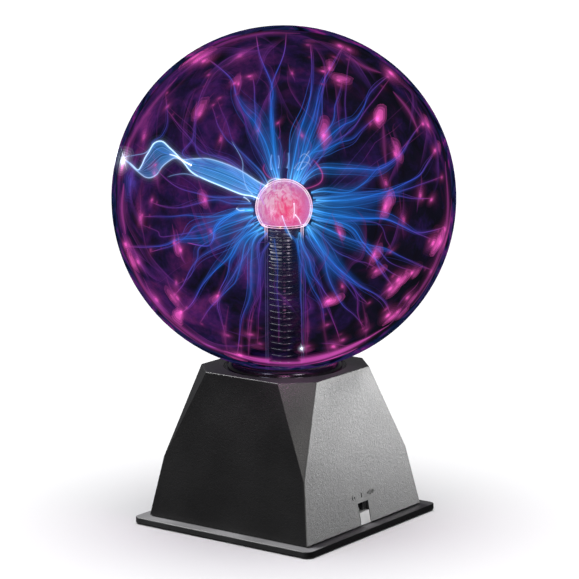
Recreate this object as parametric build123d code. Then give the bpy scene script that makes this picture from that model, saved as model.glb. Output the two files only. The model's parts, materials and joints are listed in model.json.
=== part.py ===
from build123d import *
from math import atan2, cos, pi, radians, sin, sqrt, tan
import os

os.makedirs("parts", exist_ok=True)

# A plasma ball: a sealed glass globe on a square tapered base that holds its driver board.
# Millimetres, +Z up. The origin is on the table under the globe's axis.
# +X is the face with the mode switch, -X the face with the power inlet.

# ---------------------------------------------------------------- driving dimensions
# Base plate and feet
foot_height = 1.0            # how far the rubber feet stand out under the plate
foot_radius = 5.0
foot_pocket = 0.8            # depth of the pocket that holds each foot
foot_place = 52.5            # feet at (+-52.5, +-52.5)
plate_side = 129.0
plate_thickness = 3.2
plate_corner_radius = 4.5
plate_edge_radius = 0.5
land_height = 0.8            # raised land that leaves a shadow gap under the housing
land_inset = 1.1

# Housing: a square frustum whose four corners are cut back towards the top
housing_foot = 115.0         # width at the bottom
housing_top = 84.0           # width across the flats of the top octagon
housing_height = 87.4
corner_cut = 16.1            # leg of each cut corner, measured along the top edge
apex_height = 33.4           # where the cut corners run out, above the housing's bottom
housing_wall = 2.5
housing_roof = 4.0
housing_edge_radius = 0.9
boss_place = 45.0            # screw bosses at (+-45, +-45)
boss_radius = 4.0
boss_height = 26.0
rib_thickness = 1.8

# Collar that the globe sits in
collar_radius = 36.0
collar_rebate = 2.2          # depth of its seat in the roof
collar_skirt_radius = 32.0
collar_skirt_length = 10.2
collar_bore = 24.4
collar_gap = 0.2
groove_depth = 0.8           # narrow groove round the collar's shoulder
shoulder_radius = 33.9
shoulder_height = 2.3        # how far the shoulder rises above the roof
crest_radius = 28.6
gasket_outer = 27.4
gasket_seat = 1.5            # depth of the gasket's rebate below the roof

# Glass
globe_radius = 100.0
globe_wall = 2.0
globe_centre = 191.3         # height of the globe's centre
neck_radius = 19.0
neck_fillet = 5.0
neck_bottom = 70.0
glue_gap = 1.0               # silicone between the neck and its socket
socket_flange = 2.5          # thickness of the neck socket's flange
stem_radius = 11.35
stem_wall = 1.2
flare_thickness = 1.8
bulb_radius = 16.7
bulb_wall = 1.0
bulb_centre = 185.9
bulb_cut = 10.3              # the bulb's flat underside, below its centre
lining_gap = 0.1
lining_thickness = 0.6

# Corrugated sleeve in the stem
sleeve_radius = 9.9
sleeve_bore = 8.2
sleeve_pitch = 3.73
sleeve_depth = 0.9           # depth of each groove
sleeve_rings = 29
sleeve_top = 174.8
terminal_plug = 6.0          # depth of the terminal's plug in the sleeve

# Mode switch on the +X face: a small three-position slide switch
switch_y = 0.9               # centre of its window
window_width = 10.3
window_low = 12.1
window_high = 17.7
knob_width = 4.6
knob_height = 4.4
knob_recess = 0.8            # the knob's face is this far behind the housing's face
switch_travel = 5.0
switch_width = 17.0
switch_depth = 6.5
switch_front = 52.2          # the case's front face, behind the sloping wall
switch_shell = 1.0
slider_long = 9.0
shank_height = 2.4
cavity_half_z = 2.4
cavity_deep = 2.9
contact_pitch = 3.6

# Driver board
board_x = 96.0
board_y = 72.0
board_thickness = 1.6
board_top = 11.7
board_screw_x = 36.0
board_screw_y = 30.0

# Power inlet on the -X face
inlet_z = 18.2
inlet_hole_radius = 4.5
inlet_nose_radius = 4.1
inlet_bore_radius = 3.15
inlet_bore_depth = 9.5
inlet_pin_radius = 1.05
inlet_recess = 0.7           # the nose's end is this far behind the housing's face
inlet_nose_length = 3.4
inlet_body_length = 11.0
inlet_body_half = 4.5

# Screws (all self-tapping in plastic)
screw_head_radius = 2.9
pilot_radius = 1.3
clearance_radius = 1.75
head_sink = 1.9              # how deep the housing screws' heads lie in the plate
drive_half = 0.4             # half width of a screwdriver slot

# High-voltage drive
core_width = 34.0
core_height = 34.0
core_leg = 8.0
core_depth = 9.0
core_stand = 2.0             # the core's height over the board
coil_radius = 11.0
coil_air = 0.4               # air between a coil and the core's yokes
outlet_gap = 3.6             # from the core's leg to the lead's outlet
lead_radius = 1.45
lead_seat = 1.0              # the lead stops this far above the coil's top
lead_rise = 12.0             # straight run out of the outlet
lead_cross = 14.0            # height over which it crosses to the axis

# Heat sink and transistor
sink_x = -12.0
sink_y = 24.0
sink_width = 26.0
sink_height = 26.0
sink_plate = 2.0
sink_fins = 5
transistor_stand = 3.0
tab_hole_rise = 15.5         # height of the tab's hole above the transistor's body
tab_offset = 3.05            # the transistor sits between two fins
tab_thickness = 1.3

# General allowances
overcut = 1.0                # how far a cut runs past the face it opens
air = 0.05                   # air between two parts that are clamped together

# ---------------------------------------------------------------- worked-out heights
plate_bottom = foot_height
plate_top = plate_bottom + plate_thickness
housing_bottom = plate_top + land_height
roof_top = housing_bottom + housing_height
roof_bottom = roof_top - housing_roof
board_bottom = board_top - board_thickness
half_foot = housing_foot / 2
half_top = housing_top / 2
taper = (half_foot - half_top) / housing_height    # inward run for each millimetre of height
tilt = atan2(half_foot - half_top, housing_height)
core_bottom = board_top + core_stand
coil_low = core_bottom + core_leg + coil_air
coil_high = core_bottom + core_height - core_leg - coil_air
leg_place = (core_width - core_leg) / 2
outlet_x = leg_place + core_leg / 2 + outlet_gap
transistor_low = board_top + transistor_stand
transistor_x = sink_x + tab_offset


def face_x(z, inset=0.0):
    """Half width of the housing at height z, with the faces moved in by inset."""
    return half_foot - taper * (z - housing_bottom) - inset / cos(tilt)


inlet_front = -(face_x(inlet_z) - inlet_recess)
switch_z = (window_low + window_high) / 2
switch_high = 2 * switch_z - board_top
knob_y = switch_y + switch_travel / 2              # at rest the knob is at the +Y end
cavity_half_y = (slider_long + switch_travel) / 2 + 0.2
cavity_x = (switch_front - switch_shell - cavity_deep, switch_front - switch_shell)
slider_back = cavity_x[0] + 1.3


def ring(inner, outer, low, high):
    """A plain ring about the globe's axis."""
    body = Pos(0, 0, (low + high) / 2) * Cylinder(outer, high - low)
    return body - Pos(0, 0, (low + high) / 2) * Cylinder(inner, high - low + 1)


def rod(radius, low, high, x=0.0, y=0.0):
    """An upright cylinder between two heights."""
    return Pos(x, y, (low + high) / 2) * Cylinder(radius, high - low)


def slab(x_range, y_range, z_range):
    """A box between two corners, given as three ranges."""
    size = [high - low for low, high in (x_range, y_range, z_range)]
    middle = [(high + low) / 2 for low, high in (x_range, y_range, z_range)]
    return Pos(*middle) * Box(*size)


def turned(points):
    """A solid of revolution about the globe's axis from (radius, height) corners."""
    outline = Polyline([(r, 0, z) for r, z in points], close=True)
    return revolve(make_face(outline), Axis.Z, 360)


def corners(x, y=None):
    """The four places (+-x, +-y)."""
    y = x if y is None else y
    return [(sx * x, sy * y) for sx in (-1, 1) for sy in (-1, 1)]


def save(name, shape):
    """Writes one named sub-part."""
    shape.label = name
    export_step(shape, f"parts/{name}.step")


def group(shapes):
    """Several separate solids that share one node."""
    return Compound(children=[s if isinstance(s, Solid) else s.solids()[0] for s in shapes])


# ---------------------------------------------------------------- base plate and feet
def base_plate():
    """Square plate with a raised land, a locating rim, board pillars and screw holes."""
    outline = RectangleRounded(plate_side, plate_side, plate_corner_radius)
    plate = Pos(0, 0, plate_bottom) * extrude(outline, plate_thickness)
    top_edges = plate.edges().group_by(Axis.Z)[-1]
    plate = fillet(top_edges, plate_edge_radius)

    land_side = housing_foot - 2 * land_inset
    land_run = (-land_side / 2, land_side / 2)
    plate += slab(land_run, land_run, (plate_top, housing_bottom))

    rim_height = 2.6
    rim_wall = 1.8
    rim_play = 0.25
    rim_outer = face_x(housing_bottom + rim_height, housing_wall) - rim_play
    rim_inner = rim_outer - rim_wall
    span = (housing_bottom, housing_bottom + rim_height)
    rim = slab((-rim_outer, rim_outer), (-rim_outer, rim_outer), span)
    rim -= slab((-rim_inner, rim_inner), (-rim_inner, rim_inner), span)
    cover_room = 8.4             # the rim stops short of the slot cover on each side
    opening = (switch_y - cover_room, switch_y + cover_room)
    rim -= slab((rim_inner - overcut, rim_outer + overcut), opening, span)
    plate += rim

    pillar_radius = 3.2
    pilot_depth = 6.0
    head_play = 0.3
    foot_play = 0.1
    for x, y in corners(board_screw_x, board_screw_y):
        plate += rod(pillar_radius, plate_top, board_bottom, x, y)
        plate -= rod(pilot_radius, board_bottom - pilot_depth, board_bottom + overcut, x, y)
    for x, y in corners(boss_place):
        plate -= rod(clearance_radius, plate_bottom - overcut, housing_bottom + overcut, x, y)
        plate -= rod(screw_head_radius + head_play, plate_bottom - overcut, plate_bottom + head_sink, x, y)
    for x, y in corners(foot_place):
        plate -= rod(foot_radius + foot_play, plate_bottom - overcut, plate_bottom + foot_pocket, x, y)
    return plate


def rubber_feet():
    """Four round feet glued into the plate's pockets."""
    edge = 0.4
    feet = []
    for x, y in corners(foot_place):
        foot = rod(foot_radius, 0, plate_bottom + foot_pocket, x, y)
        feet.append(chamfer(foot.edges().group_by(Axis.Z)[0], edge))
    return group(feet)


# ---------------------------------------------------------------- housing
def tapered_block(inset, low, high):
    """The housing's outer shape with every face moved in by inset, between two heights."""
    half = face_x(low) + 2 * overcut
    block = slab((-half, half), (-half, half), (low, high))
    apex_z = housing_bottom + apex_height
    apex = face_x(apex_z)
    run = half_top - corner_cut / 2 - apex
    rise = roof_top - apex_z
    face = (Vector(cos(tilt), 0, sin(tilt)), Vector(half_foot, 0, housing_bottom))
    corner = (Vector(rise, rise, -2 * run).normalized(), Vector(apex, apex, apex_z))
    for normal, place in (face, corner):
        for quarter in range(4):
            outward = normal.rotate(Axis.Z, 90 * quarter)
            origin = place.rotate(Axis.Z, 90 * quarter) - outward * inset
            block = split(block, bisect_by=Plane(origin=origin, z_dir=outward), keep=Keep.BOTTOM)
    return block


def face_plane(y, z):
    """A plane on the sloping +X face at (y, z): local x runs along +Y, local y up the slope."""
    return Plane(origin=(face_x(z), y, z), x_dir=(0, 1, 0), z_dir=(cos(tilt), 0, sin(tilt)))


def legend():
    """Raised marks above the switch: a ring for off, a bar for on and level bars for sound."""
    mark_z = 21.7
    tall = 2.8
    line = 0.65
    raised = 0.3
    sunk = 0.4
    off_y = switch_y - 8.4
    on_y = switch_y - 0.2
    sound_y = switch_y + 6.0
    level_pitch = 1.25
    levels = (0.35, 0.7, 1.0, 0.6, 0.85, 0.4)

    def bar(y, height):
        return face_plane(y, mark_z) * Pos(0, 0, (raised - sunk) / 2) * Box(line, height, raised + sunk)

    ring_mark = Cylinder(tall / 2, raised + sunk) - Cylinder(tall / 2 - line, raised + sunk)
    marks = [face_plane(off_y, mark_z) * Pos(0, 0, (raised - sunk) / 2) * ring_mark]
    marks.append(bar(on_y, tall))
    for i, level in enumerate(levels):
        marks.append(bar(sound_y + level_pitch * i, tall * level))
    return marks


def housing_boss(x, y):
    """One screw boss with two ribs that tie it to the walls."""
    top = housing_bottom + boss_height
    boss = rod(boss_radius, housing_bottom, top, x, y)
    reach = half_foot
    half_rib = rib_thickness / 2
    rib_start = 3.4              # the ribs clear the plate's locating rim
    screw_stop = 4.0             # solid plastic left over the pilot hole
    span = (housing_bottom + rib_start, top)
    x_run = (x, reach) if x > 0 else (-reach, x)
    y_run = (y, reach) if y > 0 else (-reach, y)
    boss += slab(x_run, (y - half_rib, y + half_rib), span)
    boss += slab((x - half_rib, x + half_rib), y_run, span)
    return boss - rod(pilot_radius, housing_bottom - overcut, top - screw_stop, x, y)


def base_housing():
    """Hollow tapered housing with the collar's seat, the switch's notch and the inlet's hole."""
    outer = tapered_block(0, housing_bottom, roof_top)
    soft = outer.edges().filter_by(lambda e: e.center().Z > plate_top + overcut)
    outer = fillet(soft, housing_edge_radius)
    inner = tapered_block(housing_wall, housing_bottom - overcut, roof_bottom)
    body = outer - inner

    room = tapered_block(housing_wall / 2, housing_bottom, roof_bottom)
    for x, y in corners(boss_place):
        body += housing_boss(x, y) & room

    body -= rod(collar_radius + collar_gap, roof_top - collar_rebate, roof_top + overcut)
    body -= rod(collar_skirt_radius + collar_gap, roof_bottom - overcut, roof_top + overcut)

    half = window_width / 2
    through = 4 * housing_wall
    notch_x = (face_x(window_high) - through, half_foot + overcut)
    body -= slab(notch_x, (switch_y - half, switch_y + half), (housing_bottom - overcut, window_high))
    body -= Pos(-face_x(inlet_z), 0, inlet_z) * Rot(0, 90, 0) * Cylinder(inlet_hole_radius, 2 * through)
    for mark in legend():
        body += mark
    return body


def slot_cover():
    """Filler that closes the notch under the switch, flush with the sloping face."""
    side_gap = 0.45
    lap = 2.6                    # how far its flange reaches behind the wall
    flange_thickness = 1.2
    behind = housing_wall + 0.1
    half = window_width / 2 - side_gap
    wide = half + lap
    low = housing_bottom
    high = window_low
    outer = tapered_block(0, low, high)
    inner = tapered_block(behind, low - overcut, high + overcut)
    back = tapered_block(behind + flange_thickness, low - overcut, high + overcut)
    filler = (outer - back) & slab((0, half_foot), (switch_y - half, switch_y + half), (low, high))
    flange_high = high - flange_thickness / 2
    flange = (inner - back) & slab((0, half_foot), (switch_y - wide, switch_y + wide), (low, flange_high))
    return filler + flange


def housing_screws():
    """Four screws driven up through the plate into the housing's bosses."""
    head_low = plate_bottom + 0.3
    head_high = plate_bottom + head_sink
    cross_high = plate_bottom + 0.9
    cross = 2.0                  # half length of the cross recess
    tip = housing_bottom + 14.0
    screws = []
    for x, y in corners(boss_place):
        head = rod(screw_head_radius, head_low, head_high, x, y)
        head -= slab((x - cross, x + cross), (y - drive_half, y + drive_half), (plate_bottom, cross_high))
        head -= slab((x - drive_half, x + drive_half), (y - cross, y + cross), (plate_bottom, cross_high))
        screws.append(head + rod(pilot_radius, head_high, tip, x, y))
    return group(screws)


# ---------------------------------------------------------------- what holds the globe
def globe_collar():
    """Glossy ring let into the roof: a rounded shoulder above, a skirt with a snap bead below."""
    seat = roof_top - collar_rebate
    skirt_bottom = seat - collar_skirt_length
    skirt = collar_skirt_radius
    bead = skirt + 0.8           # snap bead that holds the collar under the roof
    bead_top = roof_bottom - 0.1
    bead_ramp = 1.5
    bead_land = 0.7
    edge = 0.35
    groove = roof_top - groove_depth
    crest = roof_top + shoulder_height
    rebate = roof_top - gasket_seat
    outline = Polyline(
        (collar_bore, skirt_bottom),
        (skirt, skirt_bottom),
        (skirt, bead_top - bead_land - bead_ramp),
        (bead, bead_top - bead_land),
        (bead, bead_top),
        (skirt, bead_top),
        (skirt, seat),
        (collar_radius, seat),
        (collar_radius, roof_top - edge),
        (collar_radius - edge, roof_top),
        (collar_radius - 2 * edge, roof_top),
        (shoulder_radius + 2 * edge, groove),
        (shoulder_radius, groove),
    )
    bulge = (shoulder_radius - 1.2, crest - 0.8)
    shoulder = ThreePointArc((shoulder_radius, groove), bulge, (crest_radius, crest))
    inside = Polyline(
        (crest_radius, crest),
        (gasket_outer, crest - 0.1),
        (gasket_outer, rebate),
        (collar_bore, rebate),
        (collar_bore, skirt_bottom),
    )
    section = Plane.XZ * make_face(outline + shoulder + inside)
    collar = revolve(section, Axis.Z, 360)
    pilot_depth = 8.4
    for x, y in screw_circle():
        collar -= rod(pilot_radius, skirt_bottom - overcut, skirt_bottom + pilot_depth, x, y)
    return collar


def screw_circle():
    """Places of the four screws that hold the neck socket to the collar."""
    radius = (collar_bore + collar_skirt_radius) / 2
    return [(radius * cos(radians(a)), radius * sin(radians(a))) for a in (45, 135, 225, 315)]


def globe_gasket():
    """Soft ring between the collar and the globe; its top follows the glass."""
    low = roof_top - gasket_seat + 0.02
    play = 0.1
    blank_height = 8.0           # taller than the gap; the glass trims it
    blank = ring(collar_bore + play, gasket_outer - play, low, low + blank_height)
    return blank - Pos(0, 0, globe_centre) * Sphere(globe_radius)


def neck_socket():
    """Cup under the collar that takes the globe's neck; its flange is screwed to the collar."""
    top = roof_top - collar_rebate - collar_skirt_length
    flange = socket_flange
    bore = neck_radius + glue_gap
    wall = 2.4
    low = neck_bottom - 3.0
    socket = ring(bore, collar_skirt_radius - 0.3, top - flange, top)
    socket += ring(bore, bore + wall, low, top)
    for x, y in screw_circle():
        socket -= rod(clearance_radius, top - flange - overcut, top + overcut, x, y)
    return socket


def neck_adhesive():
    """Silicone that bonds the neck in its socket."""
    return ring(neck_radius, neck_radius + glue_gap, neck_bottom + 1.5, neck_bottom + 8.5)


def socket_screws():
    """Four screws that hold the socket's flange to the collar."""
    under = roof_top - collar_rebate - collar_skirt_length - socket_flange
    head_radius = screw_head_radius - 0.2
    head_height = 1.7
    slot_depth = 0.8
    length = 7.5
    screws = []
    for x, y in screw_circle():
        head = rod(head_radius, under - head_height, under, x, y)
        slot_z = (under - head_height - overcut, under - head_height + slot_depth)
        head -= slab((x - head_radius, x + head_radius), (y - drive_half, y + drive_half), slot_z)
        screws.append(head + rod(pilot_radius, under, under + length, x, y))
    return group(screws)


# ---------------------------------------------------------------- glass
def glass_globe():
    """Blown globe with a short neck, open at the neck's end."""
    inner_radius = globe_radius - globe_wall
    inner_neck = neck_radius - globe_wall

    def profile(sphere, neck, blend):
        """Half section of a ball that runs into a straight neck through a blend."""
        blend_r = neck + blend
        blend_z = globe_centre - sqrt((sphere + blend) ** 2 - blend_r**2)
        share = sphere / (sphere + blend)
        touch = (blend_r * share, globe_centre - (globe_centre - blend_z) * share)
        angle = atan2(globe_centre - blend_z, blend_r)
        half = (pi - angle) / 2 + angle        # half way from the neck's side to the ball's side
        dip = (blend_r + blend * cos(half), blend_z + blend * sin(half))
        lines = [
            Line((0, globe_centre + sphere), (0, neck_bottom)),
            Line((0, neck_bottom), (neck, neck_bottom)),
            Line((neck, neck_bottom), (neck, blend_z)),
            ThreePointArc((neck, blend_z), dip, touch),
            ThreePointArc(touch, (sphere, globe_centre), (0, globe_centre + sphere)),
        ]
        return revolve(Plane.XZ * make_face(Wire(lines)), Axis.Z, 360)

    outside = profile(globe_radius, neck_radius, neck_fillet)
    inside = profile(inner_radius, inner_neck, neck_fillet + globe_wall)
    return outside - inside


def glass_stem():
    """Re-entrant tube: a flare sealed to the neck, a straight stem and a blown bulb on top."""
    flare_low = neck_bottom - flare_thickness
    flat = bulb_centre - bulb_cut
    inner = stem_radius - stem_wall
    stem = ring(inner, stem_radius, flare_low, flat + bulb_wall)
    stem += ring(inner, neck_radius, flare_low, neck_bottom)
    ball = Pos(0, 0, bulb_centre) * Sphere(bulb_radius)
    hollow = Pos(0, 0, bulb_centre) * Sphere(bulb_radius - bulb_wall)
    wide = bulb_radius + overcut
    above = rod(wide, flat, bulb_centre + wide)
    above_inside = rod(wide, flat + bulb_wall, bulb_centre + wide)
    bulb = (ball & above) - (hollow & above_inside)
    stem += bulb - rod(inner, flat - overcut, flat + bulb_wall + overcut)
    seal_radius = 2.5
    foot = stem.edges().filter_by(GeomType.CIRCLE)
    foot = [e for e in foot if abs(e.radius - stem_radius) < 0.01 and abs(e.center().Z - neck_bottom) < 0.01]
    return fillet(foot, seal_radius)


def exhaust_tip():
    """Sealed-off pump tube under the flare."""
    place = (stem_radius + neck_radius) / 2
    top = neck_bottom - flare_thickness
    radius = 1.6
    length = 6.0
    tube = rod(radius, top - length, top, place, 0)
    tip = Pos(place, 0, top - length) * Sphere(radius)
    return tube + tip


# ---------------------------------------------------------------- electrode
def electrode_lining():
    """Conductive coat inside the bulb, open underneath."""
    outer = bulb_radius - bulb_wall - lining_gap
    shell = Sphere(outer) - Sphere(outer - lining_thickness)
    hem = 0.4                    # the coat stops short of the bulb's floor
    low = bulb_cut - bulb_wall - hem
    return Pos(0, 0, bulb_centre) * (shell & rod(outer + overcut, -low, outer + overcut))


def lead_terminal():
    """Turned brass end of the high-voltage lead, seated in the top of the sleeve."""
    top = sleeve_top
    plug = sleeve_bore - 0.2
    button = 5.2                 # the spring sits round this button
    button_top = top + 2.4
    return turned([
        (0, top - terminal_plug),
        (plug, top - terminal_plug),
        (plug, top),
        (button, top),
        (button, button_top),
        (button / 2, button_top + 1.0),
        (0, button_top + 1.0),
    ])


def contact_spring():
    """Coil spring that presses on the coat's crown."""
    wire_radius = 0.45
    low = sleeve_top + wire_radius + 0.02
    radius = 6.2
    turns = 6
    coat = bulb_radius - bulb_wall - lining_gap - lining_thickness
    high = bulb_centre + sqrt(coat**2 - (radius + wire_radius) ** 2) - wire_radius - 0.05
    path = Pos(0, 0, low) * Helix(pitch=(high - low) / turns, height=high - low, radius=radius)
    section = Plane(origin=path @ 0, z_dir=path % 0) * Circle(wire_radius)
    return sweep(section, path=path)


def stem_sleeve():
    """Black corrugated tube that hides the high-voltage lead inside the glass stem."""
    valley = sleeve_radius - sleeve_depth
    crest = 0.72 * sleeve_pitch  # height of one rounded ring; the rest is the valley
    start = (valley, sleeve_top)
    outline = [Line((sleeve_bore, sleeve_top), start)]
    for i in range(sleeve_rings):
        z = sleeve_top - i * sleeve_pitch
        crest_end = (valley, z - crest)
        outline.append(ThreePointArc(start, (sleeve_radius, z - crest / 2), crest_end))
        start = (valley, z - sleeve_pitch)
        outline.append(Line(crest_end, start))
    bottom = (sleeve_bore, start[1])
    outline.append(Line(start, bottom))
    outline.append(Line(bottom, (sleeve_bore, sleeve_top)))
    return revolve(Plane.XZ * make_face(Wire(outline)), Axis.Z, 360)


# ---------------------------------------------------------------- high-voltage drive
def transformer_core():
    """Closed rectangular ferrite core standing on the board."""
    outer = slab((-core_width / 2, core_width / 2), (-core_depth / 2, core_depth / 2),
                 (core_bottom, core_bottom + core_height))
    half = core_width / 2 - core_leg
    window = slab((-half, half), (-core_depth, core_depth),
                  (core_bottom + core_leg, core_bottom + core_height - core_leg))
    return outer - window


def leg_hole(x):
    """Square passage for a core leg, with a little air round it."""
    play = 0.2
    half_x = core_leg / 2 + play
    half_y = core_depth / 2 + play
    return slab((x - half_x, x + half_x), (-half_y, half_y), (coil_low - overcut, coil_high + overcut))


def hv_coil():
    """Potted high-voltage winding on one leg, with the outlet that the lead plugs into."""
    coil = rod(coil_radius, coil_low, coil_high, leg_place, 0)
    coil = fillet(coil.edges().filter_by(GeomType.CIRCLE), 0.8)
    outlet_radius = 2.8
    outlet_height = 5.0
    coil += rod(outlet_radius, coil_high - overcut, coil_high + outlet_height, outlet_x, 0)
    coil -= rod(lead_radius + air, coil_high + lead_seat, coil_high + outlet_height + overcut, outlet_x, 0)
    return coil - leg_hole(leg_place)


def primary_coil():
    """Bobbin and copper winding on the other leg."""
    x = -leg_place
    bobbin = 7.4
    winding = 8.0
    flange = 8.4
    flange_thickness = 1.2
    margin = 1.5                 # bare bobbin at each end of the winding
    coil = rod(bobbin, coil_low, coil_high, x, 0)
    coil += Pos(x, 0, 0) * ring(bobbin - air, winding, coil_low + margin, coil_high - margin)
    coil += rod(flange, coil_low, coil_low + flange_thickness, x, 0)
    coil += rod(flange, coil_high - flange_thickness, coil_high, x, 0)
    return coil - leg_hole(x)


def hv_lead():
    """Insulated lead from the winding's outlet, up the sleeve to the brass terminal."""
    low = coil_high + lead_seat
    leave = low + lead_rise
    arrive = leave + lead_cross
    points = [(outlet_x, 0, low), (outlet_x, 0, leave), (0, 0, arrive), (0, 0, sleeve_top - terminal_plug)]
    half_turn = atan2(outlet_x, arrive - leave) / 2
    share = 0.45                 # of each straight run that a bend takes up
    first = share * lead_rise / tan(half_turn)
    second = share * lead_cross / tan(half_turn)
    path = FilletPolyline(points, radius=[first, second])
    section = Plane(origin=points[0], z_dir=(0, 0, 1)) * Circle(lead_radius)
    return sweep(section, path=path)


# ---------------------------------------------------------------- driver board
def circuit_board():
    """Driver board with its screw holes."""
    board = slab((-board_x / 2, board_x / 2), (-board_y / 2, board_y / 2), (board_bottom, board_top))
    corner_radius = 2.0
    board = fillet(board.edges().filter_by(Axis.Z), corner_radius)
    for x, y in corners(board_screw_x, board_screw_y):
        board -= rod(clearance_radius, board_bottom - overcut, board_top + overcut, x, y)
    return board


def board_screws():
    """Four pan-head screws that hold the board on its pillars."""
    head_height = 1.8
    crown = 0.7
    slot_half = 2.0
    length = 5.0                 # below the board
    screws = []
    for x, y in corners(board_screw_x, board_screw_y):
        head = rod(screw_head_radius, board_top, board_top + head_height, x, y)
        head = fillet(head.edges().group_by(Axis.Z)[-1], crown)
        slot_z = (board_top + head_height / 2, board_top + head_height + overcut)
        head -= slab((x - slot_half, x + slot_half), (y - drive_half, y + drive_half), slot_z)
        screws.append(head + rod(pilot_radius, board_bottom - length, board_top, x, y))
    return group(screws)


def heat_sink():
    """Finned aluminium plate behind the transistor."""
    half = sink_width / 2
    half_fin = 0.8
    fin_depth = 8.0
    upright = (board_top, board_top + sink_height)
    sink = slab((sink_x - half, sink_x + half), (sink_y, sink_y + sink_plate), upright)
    for i in range(sink_fins):
        x = sink_x - half + half_fin + i * (sink_width - 2 * half_fin) / (sink_fins - 1)
        sink += slab((x - half_fin, x + half_fin), (sink_y, sink_y + fin_depth), upright)
    hole = Rot(90, 0, 0) * Cylinder(pilot_radius, 3 * fin_depth)
    return sink - Pos(transistor_x, sink_y, transistor_low + tab_hole_rise) * hole


def power_transistor():
    """Flat power transistor: moulded body, metal tab and three legs."""
    half = 5.0
    depth = 4.4
    body_top = transistor_low + 9.2
    tab_top = transistor_low + 18.0
    leg_pitch = 2.54
    half_leg = 0.4
    leg_y = (sink_y - air - 2.9, sink_y - air - 2.4)
    x = transistor_x
    front = sink_y - air
    body = slab((x - half, x + half), (front - depth, front), (transistor_low, body_top))
    tab = slab((x - half, x + half), (front - tab_thickness, front), (body_top, tab_top))
    hole = Rot(90, 0, 0) * Cylinder(clearance_radius, 2 * depth)
    tab -= Pos(x, front, transistor_low + tab_hole_rise) * hole
    legs = []
    for i in (-1, 0, 1):
        leg_x = x + i * leg_pitch
        legs.append(slab((leg_x - half_leg, leg_x + half_leg), leg_y, (board_top, transistor_low)))
    return body + tab + legs


def heat_sink_screw():
    """Screw that clamps the transistor's tab to the heat sink."""
    head_height = 2.0
    length = 4.8
    z = transistor_low + tab_hole_rise
    face = sink_y - air - tab_thickness
    across = Rot(90, 0, 0)
    head = Pos(transistor_x, face - head_height / 2, z) * across * Cylinder(screw_head_radius, head_height)
    slot = Box(1.5 * screw_head_radius, 0.8 * head_height, 2 * drive_half)
    head -= Pos(transistor_x, face - head_height, z) * slot
    shank = Pos(transistor_x, face + length / 2, z) * across * Cylinder(pilot_radius, length)
    return head + shank


def filter_capacitors():
    """Two upright electrolytic capacitors."""
    shoulder = 0.8
    cans = []
    for x, y, radius, height in ((-30.0, -18.0, 5.0, 16.0), (-17.5, -24.0, 4.0, 11.5)):
        can = rod(radius, board_top, board_top + height, x, y)
        cans.append(fillet(can.edges().group_by(Axis.Z)[-1], shoulder))
    return group(cans)


def film_capacitors():
    """Three dipped film capacitors."""
    half_width = 3.6
    half_depth = 1.6
    height = 8.0
    crown = 1.2
    bodies = []
    for x, y in ((6.0, -20.0), (16.0, -20.0), (27.0, 22.0)):
        sides = (x - half_width, x + half_width), (y - half_depth, y + half_depth)
        body = slab(*sides, (board_top, board_top + height))
        bodies.append(fillet(body.edges().group_by(Axis.Z)[-1], crown))
    return group(bodies)


def resistors():
    """Axial resistors lying on the board."""
    waist = 1.0
    cap = 1.3                    # radius of the swollen ends, which rest on the board
    cap_length = 1.4
    half = 2.6                   # from the middle to the middle of a cap
    half_wire = 0.3
    wire_end = 3.9
    along = Rot(0, 90, 0)
    bodies = []
    for x, y in ((2.0, -29.0), (12.0, -29.0), (22.0, -29.0), (24.0, 30.0), (12.0, 30.0)):
        z = board_top + cap
        body = Pos(x, y, z) * along * Cylinder(waist, 2 * half)
        body += Pos(x, y, z) * Box(2 * wire_end, 2 * half_wire, 2 * half_wire)
        for end in (-1, 1):
            body += Pos(x + end * half, y, z) * along * Cylinder(cap, cap_length)
            foot = x + end * (wire_end - half_wire)
            body += slab((foot - half_wire, foot + half_wire), (y - half_wire, y + half_wire), (board_top, z))
        bodies.append(body)
    return group(bodies)


def control_chip():
    """Eight-pin timing chip."""
    x = 25.0
    y = 8.0
    half_long = 4.8
    half_wide = 3.2
    low = board_top + 0.8
    high = board_top + 4.2
    half_pin = 0.35
    pin_out = 0.8                # how far the pins stand out at each side
    pin_top = board_top + 2.6
    body = slab((x - half_long, x + half_long), (y - half_wide, y + half_wide), (low, high))
    body -= Pos(x - half_long, y, high) * Cylinder(0.9, 1.0)
    pin_y = (y - half_wide - pin_out, y + half_wide + pin_out)
    under = slab((x - half_long, x + half_long), (y - half_wide, y + half_wide), (board_top, low))
    for i in range(4):
        pin_x = x + 2.54 * (i - 1.5)
        body += slab((pin_x - half_pin, pin_x + half_pin), pin_y, (board_top, pin_top)) - under
    return body


def microphone():
    """Electret capsule for the sound-driven mode."""
    x = 30.0
    y = -14.0
    top = board_top + 5.2
    can = rod(4.8, board_top, top, x, y)
    can = fillet(can.edges().group_by(Axis.Z)[-1], 0.4)
    return can - rod(1.2, top - 0.5, top + overcut, x, y)


# ---------------------------------------------------------------- power inlet
def dc_jack():
    """Barrel socket on the board, its round nose in the housing's hole."""
    shoulder = inlet_front + inlet_nose_length
    half = inlet_body_half
    body = slab((shoulder, shoulder + inlet_body_length), (-half, half), (board_top, inlet_z + half))
    nose = Pos((inlet_front + shoulder) / 2, 0, inlet_z) * Rot(0, 90, 0)
    body += nose * Cylinder(inlet_nose_radius, shoulder - inlet_front)
    bore_middle = inlet_front + inlet_bore_depth / 2
    return body - Pos(bore_middle, 0, inlet_z) * Rot(0, 90, 0) * Cylinder(inlet_bore_radius, inlet_bore_depth)


def jack_pin():
    """Centre pin of the barrel socket."""
    back = inlet_front + inlet_bore_depth
    front = inlet_front + 1.2
    tip_radius = 0.5
    pin = Pos((front + back) / 2, 0, inlet_z) * Rot(0, 90, 0) * Cylinder(inlet_pin_radius, back - front)
    return fillet(pin.edges().group_by(Axis.X)[0], tip_radius)


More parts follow.
